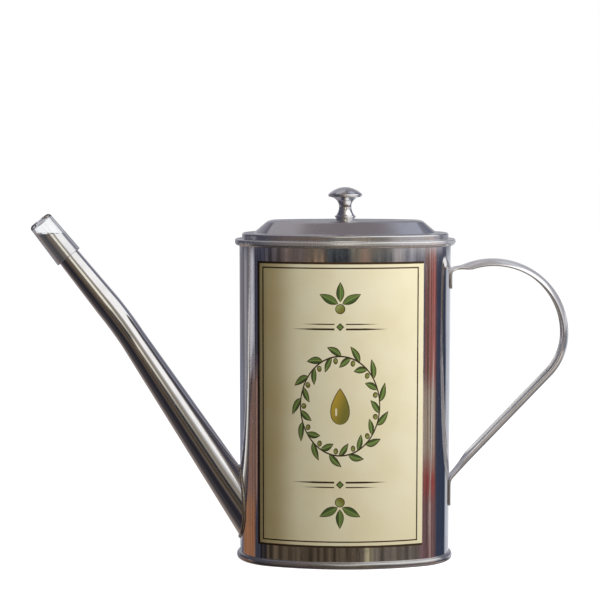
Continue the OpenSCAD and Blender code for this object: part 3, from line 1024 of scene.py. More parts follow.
@dataclass
class Label:
    """The printed sheet glued round the front of the wall."""

    oval: Oval
    left_x: float = -38.9
    right_x: float = 34.1
    low_z: float = 9.7
    top_z: float = 136.5
    out: float = 0.2
    thickness: float = 0.17
    columns: int = 60

    def build_sheet(self) -> bmesh.types.BMesh:
        """The curved sheet, with its flat size in millimetres as its UV map."""
        bm = bmesh.new()
        bmesh.ops.create_grid(bm, x_segments=self.columns, y_segments=8, size=0.5)
        uv = bm.loops.layers.uv.new("label_mm")
        start = self.oval.face_point(self.left_x, self.out)[1]
        flat = {}
        for vert in bm.verts:
            x = self.left_x + (vert.co.x + 0.5) * (self.right_x - self.left_x)
            z = self.low_z + (vert.co.y + 0.5) * (self.top_z - self.low_z)
            y, along = self.oval.face_point(x, self.out)
            flat[vert] = (along - start, z - self.low_z)
            vert.co = Vector((x, y, z))
        for face in bm.faces:
            for loop in face.loops:
                loop[uv].uv = flat[loop.vert]
        bmesh.ops.recalc_face_normals(bm, faces=list(bm.faces))
        if sum(f.normal.y for f in bm.faces) > 0:
            bmesh.ops.reverse_faces(bm, faces=list(bm.faces))
        bmesh.ops.solidify(bm, geom=list(bm.faces), thickness=self.thickness)
        return bm

    def build(self, bench: Bench, finishes: Finishes) -> None:
        """Builds and dresses the label."""
        bench.finish("front_label", self.build_sheet(), Body.CAN, Slot.LABEL, finishes.label, "label", weighted=False)


@dataclass
class Spout:
    """The long bent spout, the weld round its root and the clear cap on its tip."""

    oval: Oval
    root_z: float = 26.2
    low_angle: float = 56.8
    up_angle: float = 51.5
    low_length: float = 97.2
    up_length: float = 51.2
    bend_r: float = 200.0
    root_d: float = 17.6
    bend_d: float = 11.8
    tip_d: float = 9.3
    thickness: float = 0.6
    sides: int = 64
    over: float = 14.0
    first_ring: float = 18.0
    sunk: float = 0.3
    weld_r: float = 0.95
    cap_grip: float = 13.5
    cap_over: float = 7.6
    cap_foot_d: float = 12.5
    cap_top_d: float = 11.18
    cap_end_t: float = 1.5
    cap_round_r: float = 1.6
    cap_gap: float = -0.02

    @property
    def tangent(self) -> float:
        """Length from the bend's ends to the corner of the centre line."""
        return self.bend_r * math.tan(math.radians(self.low_angle - self.up_angle) / 2)

    @property
    def low_end(self) -> float:
        """Length along the centre line at which the bend starts."""
        return self.low_length - self.tangent

    @property
    def tip_z(self) -> float:
        """Height of the level cut at the tip."""
        low, up = math.radians(self.low_angle), math.radians(self.up_angle)
        return self.root_z + self.low_length * math.sin(low) + self.up_length * math.sin(up)

    def root_frame(self) -> Matrix:
        """Frame at the wall whose Z runs up the lower length."""
        turn = Matrix.Rotation(math.radians(self.low_angle - 90), 4, "Y")
        return Matrix.Translation((-self.oval.half_width, 0, self.root_z)) @ turn

    def tip_frame(self) -> Matrix:
        """Frame at the end of the bend whose Z runs up the upper length."""
        turn = Matrix.Rotation(math.radians(self.up_angle - self.low_angle), 4, "Y")
        return self.root_frame() @ Matrix.Translation((0, 0, self.low_end)) @ self.bend_step(turn)

    def bend_step(self, turn: Matrix) -> Matrix:
        """Move round the bend's centre by a turn."""
        return Matrix.Translation((-self.bend_r, 0, 0)) @ turn @ Matrix.Translation((self.bend_r, 0, 0))

    def frames(self, inset: float) -> list[Matrix]:
        """Frames along the spout, scaled to its radius there.

        Args:
            inset: Distance that the radius is taken in by.

        Returns:
            The frames, from inside the wall to past the tip.
        """
        taper = (self.root_d - self.bend_d) / 2 / self.low_end
        root, made = self.root_frame(), []
        stops = [-self.over] + [self.first_ring + (self.low_end - self.first_ring) * i / 16 for i in range(17)]
        for length in stops:
            radius = self.root_d / 2 - taper * length - inset
            made.append(root @ Matrix.Translation((0, 0, length)) @ Matrix.Scale(radius, 4))
        bend = math.radians(self.up_angle - self.low_angle)
        lift = root @ Matrix.Translation((0, 0, self.low_end))
        for i in range(1, 9):
            turn = Matrix.Rotation(bend * i / 8, 4, "Y")
            made.append(lift @ self.bend_step(turn) @ Matrix.Scale(self.bend_d / 2 - inset, 4))
        up_run = self.up_length - self.tangent
        up_taper = (self.bend_d - self.tip_d) / 2 / up_run
        for i in range(1, 11):
            length = (up_run + self.tip_d) * i / 10
            radius = self.bend_d / 2 - up_taper * length - inset
            made.append(self.tip_frame() @ Matrix.Translation((0, 0, length)) @ Matrix.Scale(radius, 4))
        return made

    def wall_hit(self, point: Vector, radius: float) -> Vector:
        """Slides a point along the lower cone until it lies on the wall's end arc.

        Args:
            point: Point on the cone.
            radius: Radius of the arc to land on.

        Returns:
            The point on the arc.
        """
        taper = (self.root_d - self.bend_d) / 2 / self.low_end
        apex = self.root_frame() @ Vector((0, 0, self.root_d / 2 / taper))
        way = (apex - point).normalized()
        px, py = point.x + self.oval.end_x, point.y
        a = way.x**2 + way.y**2
        b = px * way.x + py * way.y
        c = px**2 + py**2 - radius**2
        return point + way * ((-b + math.sqrt(b * b - a * c)) / a)

    def build_bore(self) -> bmesh.types.BMesh:
        """The solid that the spout's bore takes out of the wall."""
        bm = bmesh.new()
        frames = self.frames(self.thickness)[:2]
        bmesh.ops.create_circle(bm, cap_ends=True, radius=1, segments=self.sides, matrix=frames[0])
        face = next(iter(bm.faces))
        made = bmesh.ops.extrude_face_region(bm, geom=[face])["geom"]
        verts = [g for g in made if isinstance(g, bmesh.types.BMVert)]
        bmesh.ops.transform(bm, matrix=frames[1] @ frames[0].inverted(), verts=verts)
        bmesh.ops.recalc_face_normals(bm, faces=list(bm.faces))
        return bm

    def build_tube(self) -> bmesh.types.BMesh:
        """The tapered tube, trimmed to the wall at its root and level at its tip."""
        bm = bmesh.new()
        frames = self.frames(0)
        made = bmesh.ops.create_circle(bm, cap_ends=False, radius=1, segments=self.sides, matrix=frames[0])
        root = list(made["verts"])
        sweep(bm, list(bm.edges), frames)
        bmesh.ops.recalc_face_normals(bm, faces=list(bm.faces))
        axis = frames[0].to_3x3() @ Vector((0, 0, 1))
        middle = frames[9].translation
        sample = min(bm.faces, key=lambda f: (f.calc_center_median() - middle).length)
        if sample.normal.dot(sample.calc_center_median() - middle) < 0:
            bmesh.ops.reverse_faces(bm, faces=list(bm.faces))
        floor = frames[0].translation.dot(axis.normalized())
        bmesh.ops.solidify(bm, geom=list(bm.faces), thickness=self.thickness)
        for vert in bm.verts:
            if vert in root or abs(vert.co.dot(axis.normalized()) - floor) < 0.5:
                vert.co = self.wall_hit(vert.co, self.oval.end_r - self.sunk)
        cut = bmesh.ops.bisect_plane(
            bm, geom=everything(bm), plane_co=(0, 0, self.tip_z), plane_no=(0, 0, 1), clear_outer=True
        )
        rim = [g for g in cut["geom_cut"] if isinstance(g, bmesh.types.BMEdge)]
        bmesh.ops.bridge_loops(bm, edges=rim)
        weld(bm)
        return bm

    def build_weld(self) -> bmesh.types.BMesh:
        """The uneven bead of filler where the tube meets the wall."""
        bm = bmesh.new()
        steps, tube = 144, self.frames(0)[0]
        ring = []
        for i in range(steps):
            angle = 2 * math.pi * i / steps
            ring.append(self.wall_hit(tube @ Vector((math.cos(angle), math.sin(angle), 0)), self.oval.end_r + 0.1))
        frames = []
        for i, point in enumerate(ring):
            way = (ring[(i + 1) % steps] - ring[i - 1]).normalized()
            out = Vector((point.x + self.oval.end_x, point.y, 0)).normalized()
            side = way.cross(out).normalized()
            up = side.cross(way)
            size = self.weld_r * (0.92 + 0.14 * noise.noise(point * 0.35) + 0.03 * math.sin(i * 2.1))
            turn = Matrix((side, up, way)).transposed().to_4x4()
            frames.append(Matrix.Translation(point) @ turn @ Matrix.Scale(size, 4))
        bmesh.ops.create_circle(bm, cap_ends=False, radius=1, segments=14, matrix=frames[0])
        sweep(bm, list(bm.edges), [*frames, frames[0]])
        weld(bm, 0.002)
        return bm

    def build_cap(self) -> bmesh.types.BMesh:
        """The clear cap: a slightly tapered cup with a thick closed end and a moulded ring inside it."""
        bm = bmesh.new()
        up_run = self.up_length - self.tangent
        taper = (self.bend_d - self.tip_d) / up_run
        foot_z = up_run - self.cap_grip
        end_z = up_run + self.cap_over
        hollow_z = end_z - self.cap_end_t
        bore_r = (self.tip_d + taper * self.cap_grip) / 2 + self.cap_gap
        hollow_r = (self.tip_d - taper * (hollow_z - up_run)) / 2 + self.cap_gap
        lip = 0.3
        pen = Pen(bm, 0, hollow_z).line(1.3, hollow_z).line(1.6, hollow_z - 0.5).line(2.1, hollow_z - 0.5)
        pen.line(2.4, hollow_z).line(hollow_r - 0.7, hollow_z).turn(hollow_r - 0.7, hollow_z - 0.7, -90, 6)
        pen.line(bore_r, foot_z + lip).turn(bore_r + lip, foot_z + lip, 90, 4)
        pen.line(self.cap_foot_d / 2 - lip, foot_z).turn(self.cap_foot_d / 2 - lip, foot_z + lip, 90, 4)
        centre = self.cap_top_d / 2 - self.cap_round_r
        pen.line(self.cap_top_d / 2, end_z - self.cap_round_r).turn(centre, end_z - self.cap_round_r, 90, 10)
        pen.line(0, end_z)
        revolve(bm, 72)
        bmesh.ops.transform(bm, matrix=self.tip_frame(), verts=list(bm.verts))
        return bm

    def build(self, bench: Bench, finishes: Finishes) -> None:
        """Builds and dresses the tube, its weld and its cap."""
        bench.finish("spout_tube_steel", self.build_tube(), Body.CAN, Slot.POLISHED, finishes.spout, "spout_tube", weighted=False)
        bench.finish("spout_weld_bead", self.build_weld(), Body.CAN, Slot.WELD, finishes.weld, "spout_weld", weighted=False)
        bench.finish("clear_cap", self.build_cap(), Body.CAP, Slot.CLEAR, finishes.clear, "spout_cap")


@dataclass
class Handle:
    """The channelled strap handle, flattened at both ends on to the wall."""

    oval: Oval
    top_centre: tuple[float, float] = (66.5, 102.0)
    top_r: float = 34.4
    low_centre: tuple[float, float] = (73.8, 102.0)
    low_r: float = 27.1
    run_angle: float = 46.6
    thickness: float = 0.9
    half_width: float = 5.5
    channel_r: float = 7.12
    tab_low: float = 123.1
    tail_low: float = 24.35
    tab_bend_r: float = 2.1
    tail_bend_r: float = 4.0
    wall_gap: float = 0.03
    dents: tuple[float, ...] = (126.2, 29.0)

    def way(self) -> list[Vector]:
        """Points of the strap's outer line, from the upper foot over the top to the lower foot."""
        bm = bmesh.new()
        wall = self.oval.half_width + self.wall_gap
        cx, cz = self.top_centre
        bend_x = wall + self.tab_bend_r
        rise = math.sqrt((self.top_r - self.tab_bend_r) ** 2 - (cx - bend_x) ** 2)
        join = math.degrees(math.atan2(rise, bend_x - cx))
        low_turn = 90 - self.run_angle
        run_x, run_z = math.cos(math.radians(self.run_angle)), math.sin(math.radians(self.run_angle))
        start = (
            self.low_centre[0] + self.low_r * math.cos(math.radians(low_turn)),
            self.low_centre[1] - self.low_r * math.sin(math.radians(low_turn)),
        )
        tail_x = wall + self.thickness
        length = (start[0] - tail_x) / run_x
        corner_z = start[1] - length * run_z
        back = self.tail_bend_r * math.tan(math.radians(low_turn) / 2)
        pen = Pen(bm, wall, self.tab_low)
        for z in (0.4, 1.0, 1.8, 2.6, 3.4, 4.2, 5.0):
            pen.line(wall, self.tab_low + z)
        pen.line(wall, cz + rise).turn(bend_x, cz + rise, join - 180, 7)
        pen.turn(cx, cz, -join, 44).turn(*self.low_centre, -low_turn, 18)
        for share in (0.2, 0.4, 0.6, 0.74, 0.82, 0.88, 0.92, 0.96):
            pen.line(start[0] - share * (length - back) * run_x, start[1] - share * (length - back) * run_z)
        pen.line(tail_x + back * run_x, corner_z + back * run_z)
        pen.turn(tail_x + self.tail_bend_r, corner_z - back, low_turn, 7)
        foot = corner_z - back - self.tail_low
        for share in (0.15, 0.3, 0.4, 0.5, 0.6, 0.7, 0.8, 0.88, 0.95, 1.0):
            pen.line(tail_x, corner_z - back - share * foot)
        points = pen.chain()
        bm.free()
        return points

    def build_strap(self) -> bmesh.types.BMesh:
        """The strap: a sheet that is a channel along the grip and lies round the wall at its feet."""
        points = self.way()
        lengths = [0.0]
        for a, b in zip(points, points[1:]):
            lengths.append(lengths[-1] + (b - a).length)
        total, across = lengths[-1], 14
        bm = bmesh.new()
        row = [bmesh.ops.create_vert(bm, co=(0, i, 0))["vert"][0] for i in range(across + 1)]
        edges = [bm.edges.new(pair) for pair in zip(row, row[1:])]
        for i, point in enumerate(points):
            if i:
                made = bmesh.ops.extrude_edge_only(bm, edges=edges)["geom"]
                fresh = [g for g in made if isinstance(g, bmesh.types.BMVert)]
                edges = [g for g in made if isinstance(g, bmesh.types.BMEdge) and all(w in fresh for w in g.verts)]
                row = sorted(fresh, key=lambda w: w.co.y)
            ahead = points[min(i + 1, len(points) - 1)] - points[max(i - 1, 0)]
            out = Vector((-ahead.z, 0, ahead.x)).normalized()
            self._bend_row(row, point, out, lengths[i], total, across)
        bmesh.ops.recalc_face_normals(bm, faces=list(bm.faces))
        top = max(bm.faces, key=lambda f: f.calc_center_median().z)
        if top.normal.z < 0:
            bmesh.ops.reverse_faces(bm, faces=list(bm.faces))
        self._dent(bm)
        bmesh.ops.solidify(bm, geom=list(bm.faces), thickness=self.thickness)
        rim = [e for e in bm.edges if e.calc_face_angle(0) > math.radians(60)]
        bmesh.ops.bevel(
            bm, geom=rim, offset=0.22, offset_type="OFFSET", segments=3, profile=0.5, affect="EDGES", material=-1
        )
        weld(bm, 0.0005)
        return bm

    def _bend_row(self, row: list, point: Vector, out: Vector, length: float, total: float, across: int) -> None:
        """Lays one row of the sheet across the strap.

        Args:
            row: Its vertices, in order across.
            point: Middle of the row, on the outer line.
            out: Outward direction there.
            length: Length along the strap.
            total: Whole length of the strap.
            across: Number of edges in the row.
        """
        wall_bend = 1 / (self.oval.end_r + self.thickness)
        channel = 1 / self.channel_r
        top = smooth(length, 8.5, 17.0)
        low = smooth(total - length, 13.0, 26.0)
        bend = -wall_bend * (1 - top) + channel * top if length < total / 2 else wall_bend * (1 - low) + channel * low
        half = self.half_width - 1.1 * (1 - smooth(min(length, total - length), -0.6, 1.4))
        for i, vert in enumerate(row):
            y = half * (2 * i / across - 1)
            depth = (1 - math.sqrt(max(0.0, 1 - (bend * y) ** 2))) / bend if abs(bend) > 1e-5 else 0.0
            vert.co = point - out * depth + Vector((0, y, 0))

    def _dent(self, bm: bmesh.types.BMesh) -> None:
        """Presses a spot-weld dimple into the lower foot; the upper foot is left flat."""
        for z in self.dents:
            for vert in bm.verts:
                away = math.hypot(vert.co.y, vert.co.z - z)
                if away < 1.9 and vert.co.x < self.oval.half_width + 3:
                    vert.co.x -= 0.28 * (1 - (away / 1.9) ** 2) ** 2 if z < 60 else 0.0

    def build(self, bench: Bench, finishes: Finishes) -> None:
        """Builds and dresses the strap."""
        bench.finish("handle_strap_steel", self.build_strap(), Body.CAN, Slot.POLISHED, finishes.strap, "handle_strap", sharp=50)


def smooth(value: float, low: float, high: float) -> float:
    """Smooth step from 0 at low to 1 at high."""
    t = min(1.0, max(0.0, (value - low) / (high - low)))
    return t * t * (3 - 2 * t)


@dataclass
class Lid:
    """The pressed lid, its turned knob, and the screw and washer under it."""

    oval: Oval
    thickness: float = 0.5
    inset: float = 1.2
    seat_z: float = 145.4
    flange_z: float = 148.0
    dome_z: float = 153.7
    band_r: float = 0.8
    flange_w: float = 5.2
    slope: float = 40.0
    foot_r: float = 1.0
    top_r: float = 4.6
    knob_d: float = 15.3
    waist_d: float = 5.6
    knob_foot_d: float = 9.4
    knob_h: float = 14.7
    lip_z: float = 1.5
    lip_r: float = 0.5
    waist_z: float = 5.9
    edge_r: float = 0.8
    crown_h: float = 3.6
    washer_d: float = 10.0
    washer_t: float = 0.6
    screw_d: float = 3.0
    screw_grip: float = 7.0
    head_d: float = 5.6
    head_h: float = 1.6

    def build_cap(self) -> bmesh.types.BMesh:
        """The lid: an upright band, a narrow flat ledge, and a dome with a flat, closed top."""
        bm = bmesh.new()
        face = -self.inset
        foot_x = face - self.flange_w
        slope = math.radians(self.slope)
        foot_l = self.foot_r * math.tan(slope / 2)
        edge_x = foot_x - (self.dome_z - self.flange_z) / math.tan(slope)
        top_x = edge_x - self.top_r * math.tan(slope / 2)
        pen = Pen(bm, face, self.seat_z).line(face, self.flange_z - self.band_r)
        pen.turn(face - self.band_r, self.flange_z - self.band_r, 90, 8)
        pen.line(foot_x + foot_l, self.flange_z).turn(foot_x + foot_l, self.flange_z + self.foot_r, -self.slope, 5)
        turned = math.radians(90 - self.slope)
        centre_z = self.dome_z - self.top_r
        pen.line(top_x + self.top_r * math.cos(turned), centre_z + self.top_r * math.sin(turned))
        pen.turn(top_x, centre_z, self.slope, 9).line(top_x - 0.6, self.dome_z)
        self.oval.carry(bm)
        close_middle(bm)
        bmesh.ops.solidify(bm, geom=list(bm.faces), thickness=self.thickness)
        weld(bm)
        return bm

    def build_knob(self) -> bmesh.types.BMesh:
        """The turned knob: a small foot lip, a waisted stem and a low crowned cap."""
        bm = bmesh.new()
        lip_x = self.knob_foot_d / 2 - self.lip_r
        edge_x = self.knob_d / 2 - self.edge_r
        edge_z = self.knob_h - self.crown_h
        rise = self.knob_h - self.edge_r
        crown_z = (rise**2 - edge_x**2 - edge_z**2) / (2 * (rise - edge_z))
        crown_a = math.degrees(math.atan2(edge_z - crown_z, edge_x))
        pen = Pen(bm, 0, 0).line(lip_x, 0).line(lip_x, self.lip_z - self.lip_r).turn(lip_x, self.lip_z, 180, 10)
        radius, angle = self._hollow(lip_x, self.lip_z + self.lip_r)
        pen.turn(self.waist_d / 2 + radius, self.waist_z, -angle, 10)
        radius, angle = self._hollow(edge_x, edge_z - self.edge_r)
        pen.turn(self.waist_d / 2 + radius, self.waist_z, -angle, 12)
        pen.turn(edge_x, edge_z, 90 + crown_a, 10).turn(0, crown_z, 90 - crown_a, 10)
        revolve(bm, 72)
        bmesh.ops.translate(bm, vec=(0, 0, self.dome_z), verts=list(bm.verts))
        return bm

    def _hollow(self, x: float, z: float) -> tuple[float, float]:
        """Hollow arc between the waist and a point.

        Args:
            x: Radius of the point.
            z: Height of the point over the knob's foot.

        Returns:
            The arc's radius and its angle in degrees.
        """
        dx, dz = x - self.waist_d / 2, abs(z - self.waist_z)
        radius = (dx**2 + dz**2) / (2 * dx)
        return radius, math.degrees(math.atan2(dz, radius - dx))

    def build_washer(self) -> bmesh.types.BMesh:
        """The flat washer under the lid."""
        bm = bmesh.new()
        low = self.dome_z - self.thickness - self.washer_t
        inner, outer, top = self.screw_d / 2 + 0.1, self.washer_d / 2, low + self.washer_t
        pen = Pen(bm, inner, low).line(outer - 0.15, low).turn(outer - 0.15, low + 0.15, 90, 3)
        pen.line(outer, top - 0.15).turn(outer - 0.15, top - 0.15, 90, 3).line(inner, top).close()
        revolve(bm, 48)
        return bm

    def build_screw(self) -> bmesh.types.BMesh:
        """The screw with a domed head and a cross slot pressed in."""
        bm = bmesh.new()
        seat = self.dome_z - self.thickness - self.washer_t
        low = seat - self.head_h
        head = self.head_d / 2
        pen = Pen(bm, 0, low).line(1.2, low + 0.02).line(head - 0.5, low + 0.35).turn(head - 0.5, low + 0.85, 90, 5)
        pen.line(head, seat).line(self.screw_d / 2, seat).line(self.screw_d / 2, self.dome_z + self.screw_grip - 0.3)
        pen.line(self.screw_d / 2 - 0.3, self.dome_z + self.screw_grip).line(0, self.dome_z + self.screw_grip)
        revolve(bm, 40)
        for turn in (0, 90):
            slot = bmesh.new()
            bmesh.ops.create_cube(slot, size=1)
            bmesh.ops.scale(slot, vec=(3.0, 0.6, 1.4), verts=list(slot.verts))
            bmesh.ops.rotate(slot, cent=(0, 0, 0), matrix=Matrix.Rotation(math.radians(turn), 3, "Z"), verts=list(slot.verts))
            bmesh.ops.translate(slot, vec=(0, 0, low), verts=list(slot.verts))
            bm = cut_away(bm, slot)
        return bm

    def build(self, bench: Bench, finishes: Finishes) -> None:
        """Builds and dresses the lid's four pieces."""
        bench.finish("lid_pressing", self.build_cap(), Body.LID, Slot.POLISHED, finishes.lid, "lid_cap")
        bench.finish("knob_turned", self.build_knob(), Body.LID, Slot.TURNED, finishes.knob, "lid_knob", weighted=False)
        bench.finish("washer_disc", self.build_washer(), Body.LID, Slot.FASTENER, finishes.fastener, "knob_washer")
        bench.finish("screw_body", self.build_screw(), Body.LID, Slot.FASTENER, finishes.fastener, "knob_screw")


# ---- studio


@dataclass(frozen=True)
class Patch:
    """A patch of one colour in the mirrored room, between two bearings and two heights in degrees.

    A bearing of 0 is the label's side and +90 the handle's. Lean moves the patch sideways for each degree of
    height, and tilt moves it up for each degree of bearing.
    """

    colour: Colour
    left: float
    right: float
    low: float
    high: float
    side_blur: float = 4.0
    end_blur: float = 2.0
    lean: float = 0.0
    tilt: float = 0.0
    share: float = 1.0

    def paint(self, g: Graph, bearing: Socket, height: Socket, under: Socket) -> Socket:
        """Paints the patch over a colour.

        Args:
            g: The room's graph.
            bearing: Bearing in degrees.
            height: Height in degrees.
            under: Colour below it.

        Returns:
            The painted colour.
        """
        side = g.calc("SUBTRACT", bearing, g.calc("MULTIPLY", height, self.lean)) if self.lean else bearing
        end = g.calc("SUBTRACT", height, g.calc("MULTIPLY", bearing, self.tilt)) if self.tilt else height
        mask = g.step(side, self.left - self.side_blur / 2, self.left + self.side_blur / 2)
        mask = g.calc("MULTIPLY", mask, g.step(side, self.right + self.side_blur / 2, self.right - self.side_blur / 2))
        mask = g.calc("MULTIPLY", mask, g.step(end, self.low - self.end_blur / 2, self.low + self.end_blur / 2))
        mask = g.calc("MULTIPLY", mask, g.step(end, self.high + self.end_blur / 2, self.high - self.end_blur / 2))
        if self.share < 1:
            mask = g.calc("MULTIPLY", mask, self.share)
        return g.mix(mask, under, srgb(*self.colour))


HORIZON = (
    (-180, (166, 168, 178)),
    (-128, (104, 102, 110)),
    (-119, (166, 166, 172)),
    (-108, (104, 102, 108)),
    (-100, (130, 128, 132)),
    (-96, (204, 204, 210)),
    (-85, (196, 196, 204)),
    (-80, (52, 54, 66)),
    (-58, (58, 58, 72)),
    (-42, (84, 80, 84)),
    (-37, (64, 58, 60)),
    (-30, (104, 90, 84)),
    (-24, (86, 76, 74)),
    (-18, (140, 122, 98)),
    (-12, (144, 118, 92)),
    (-9, (44, 48, 56)),
    (5, (46, 46, 52)),
    (8, (120, 112, 92)),
    (12, (158, 112, 86)),
    (16, (80, 84, 84)),
    (25, (60, 72, 88)),
    (30, (160, 150, 144)),
    (34, (120, 126, 142)),
    (46, (88, 84, 96)),
    (52, (142, 94, 88)),
    (57, (100, 80, 76)),
    (63, (158, 102, 94)),
    (76, (162, 98, 92)),
    (82, (84, 72, 82)),
    (88, (56, 62, 80)),
    (118, (58, 64, 82)),
    (126, (198, 203, 212)),
)

ROOM_PATCHES = (
    Patch((150, 148, 158), -181, -136, -0.2, 91, side_blur=16, end_blur=0.6),
    Patch((78, 78, 92), -136, -34, -0.2, 91, side_blur=18, end_blur=0.6),
    Patch((108, 97, 94), -38, -8, -0.2, 91, side_blur=14, end_blur=0.6),
    Patch((144, 138, 128), -8, 34, -0.2, 91, side_blur=10, end_blur=0.6),
    Patch((210, 207, 208), 28, 82, -0.2, 26, side_blur=14, end_blur=0.6),
    Patch((198, 196, 206), 76, 104, -0.2, 40, side_blur=10, end_blur=0.6),
    Patch((122, 122, 134), 102, 140, -0.2, 91, side_blur=10, end_blur=0.6),
    Patch((140, 139, 147), 140, 181, -0.2, 91, side_blur=12, end_blur=0.6),
    Patch((186, 180, 174), -14, 34, 26, 91, side_blur=12, end_blur=6),
    Patch((74, 80, 84), -14, 4, -0.4, 2.4, side_blur=4, end_blur=0.8),
    Patch((184, 184, 192), -181, -158, 9, 34, side_blur=16, end_blur=4),
    Patch((184, 184, 192), 156, 181, 9, 34, side_blur=16, end_blur=4),
    Patch((96, 96, 108), -181, -177, 6, 8.4, side_blur=1, end_blur=1),
    Patch((96, 96, 108), 175.6, 181, 6, 8.4, side_blur=1, end_blur=1),
    Patch((126, 119, 124), -181, 181, 64, 91, end_blur=12),
    Patch((168, 165, 170), -181, -118, 56, 76.5, side_blur=3, end_blur=2),
    Patch((168, 172, 188), 112, 150, 56, 73, side_blur=10, end_blur=6),
    Patch((116, 119, 136), 120, 152, 8, 46, side_blur=8, end_blur=6),
    Patch((206, 205, 210), 108, 172, 1.6, 7.6, side_blur=10, end_blur=2.4),
    Patch((156, 151, 148), -34, 30, 60, 74, side_blur=30, end_blur=14),
    Patch((236, 240, 246), 150, 181, -16, -0.2, side_blur=10, end_blur=2),
    Patch((72, 66, 62), -64, 44, -18, -5.6, side_blur=6, end_blur=1),
    Patch((66, 63, 66), -181, 181, -91, -17, end_blur=4),
    Patch((158, 144, 138), -181, -120, -91, -17, side_blur=56, end_blur=4),
    Patch((108, 98, 92), -12, 34, -91, -17, side_blur=30, end_blur=4),
    Patch((156, 146, 142), 34, 114, -91, -17, side_blur=24, end_blur=4),
    Patch((190, 180, 172), 84, 130, -44, -17, side_blur=10, end_blur=4),
    Patch((118, 116, 120), 114, 181, -91, -17, side_blur=20, end_blur=4),
    Patch((44, 42, 50), -70, -36, -60, -15, side_blur=20, end_blur=4),
    Patch((98, 89, 80), -38, -10, -24, -4.6, side_blur=12, end_blur=2),
    Patch((255, 250, 232), -5, 10, 4, 20, side_blur=4, end_blur=5, tilt=0.3),
    Patch((150, 105, 78), -128, -66, -17, -10.4, side_blur=4, end_blur=1.2, lean=1.2),
    Patch((128, 100, 90), -105, -68, -11, -5.6, side_blur=3, end_blur=0.8, lean=0.6),
    Patch((128, 132, 148), -181, -132, -15, -5, side_blur=8, end_blur=2),
    Patch((44, 40, 42), -64, -46, -17, -11.6, side_blur=4, end_blur=0.6),
    Patch((80, 69, 57), -46, 10, -17, -11.6, side_blur=6, end_blur=0.6),
    Patch((100, 92, 84), 10, 44, -17, -11.6, side_blur=6, end_blur=0.6),
    Patch((64, 60, 64), -60, -53, -15, -4.6, side_blur=3, end_blur=1, lean=6.2),
    Patch((240, 236, 226), -73, -67.5, -13, -4.8, side_blur=2, end_blur=1, lean=6.2),
    Patch((158, 143, 130), 44, 80, -9.4, -6.0, side_blur=4, end_blur=1),
    Patch((140, 66, 62), 46, 80, -10.8, -9.5, side_blur=4, end_blur=0.6),
    Patch((106, 82, 84), 44, 84, -17, -10.8, side_blur=4, end_blur=0.8),
    Patch((206, 176, 166), 64, 67, -17, -10.6, side_blur=2, end_blur=1),
    Patch((196, 190, 186), 79, 82, -12, -5, side_blur=2, end_blur=2, lean=1.5),
    Patch((56, 64, 84), 86, 124, -16, -4, side_blur=5, end_blur=2),
    Patch((160, 150, 122), 12, 16, -17, -12, side_blur=2, end_blur=1),
)


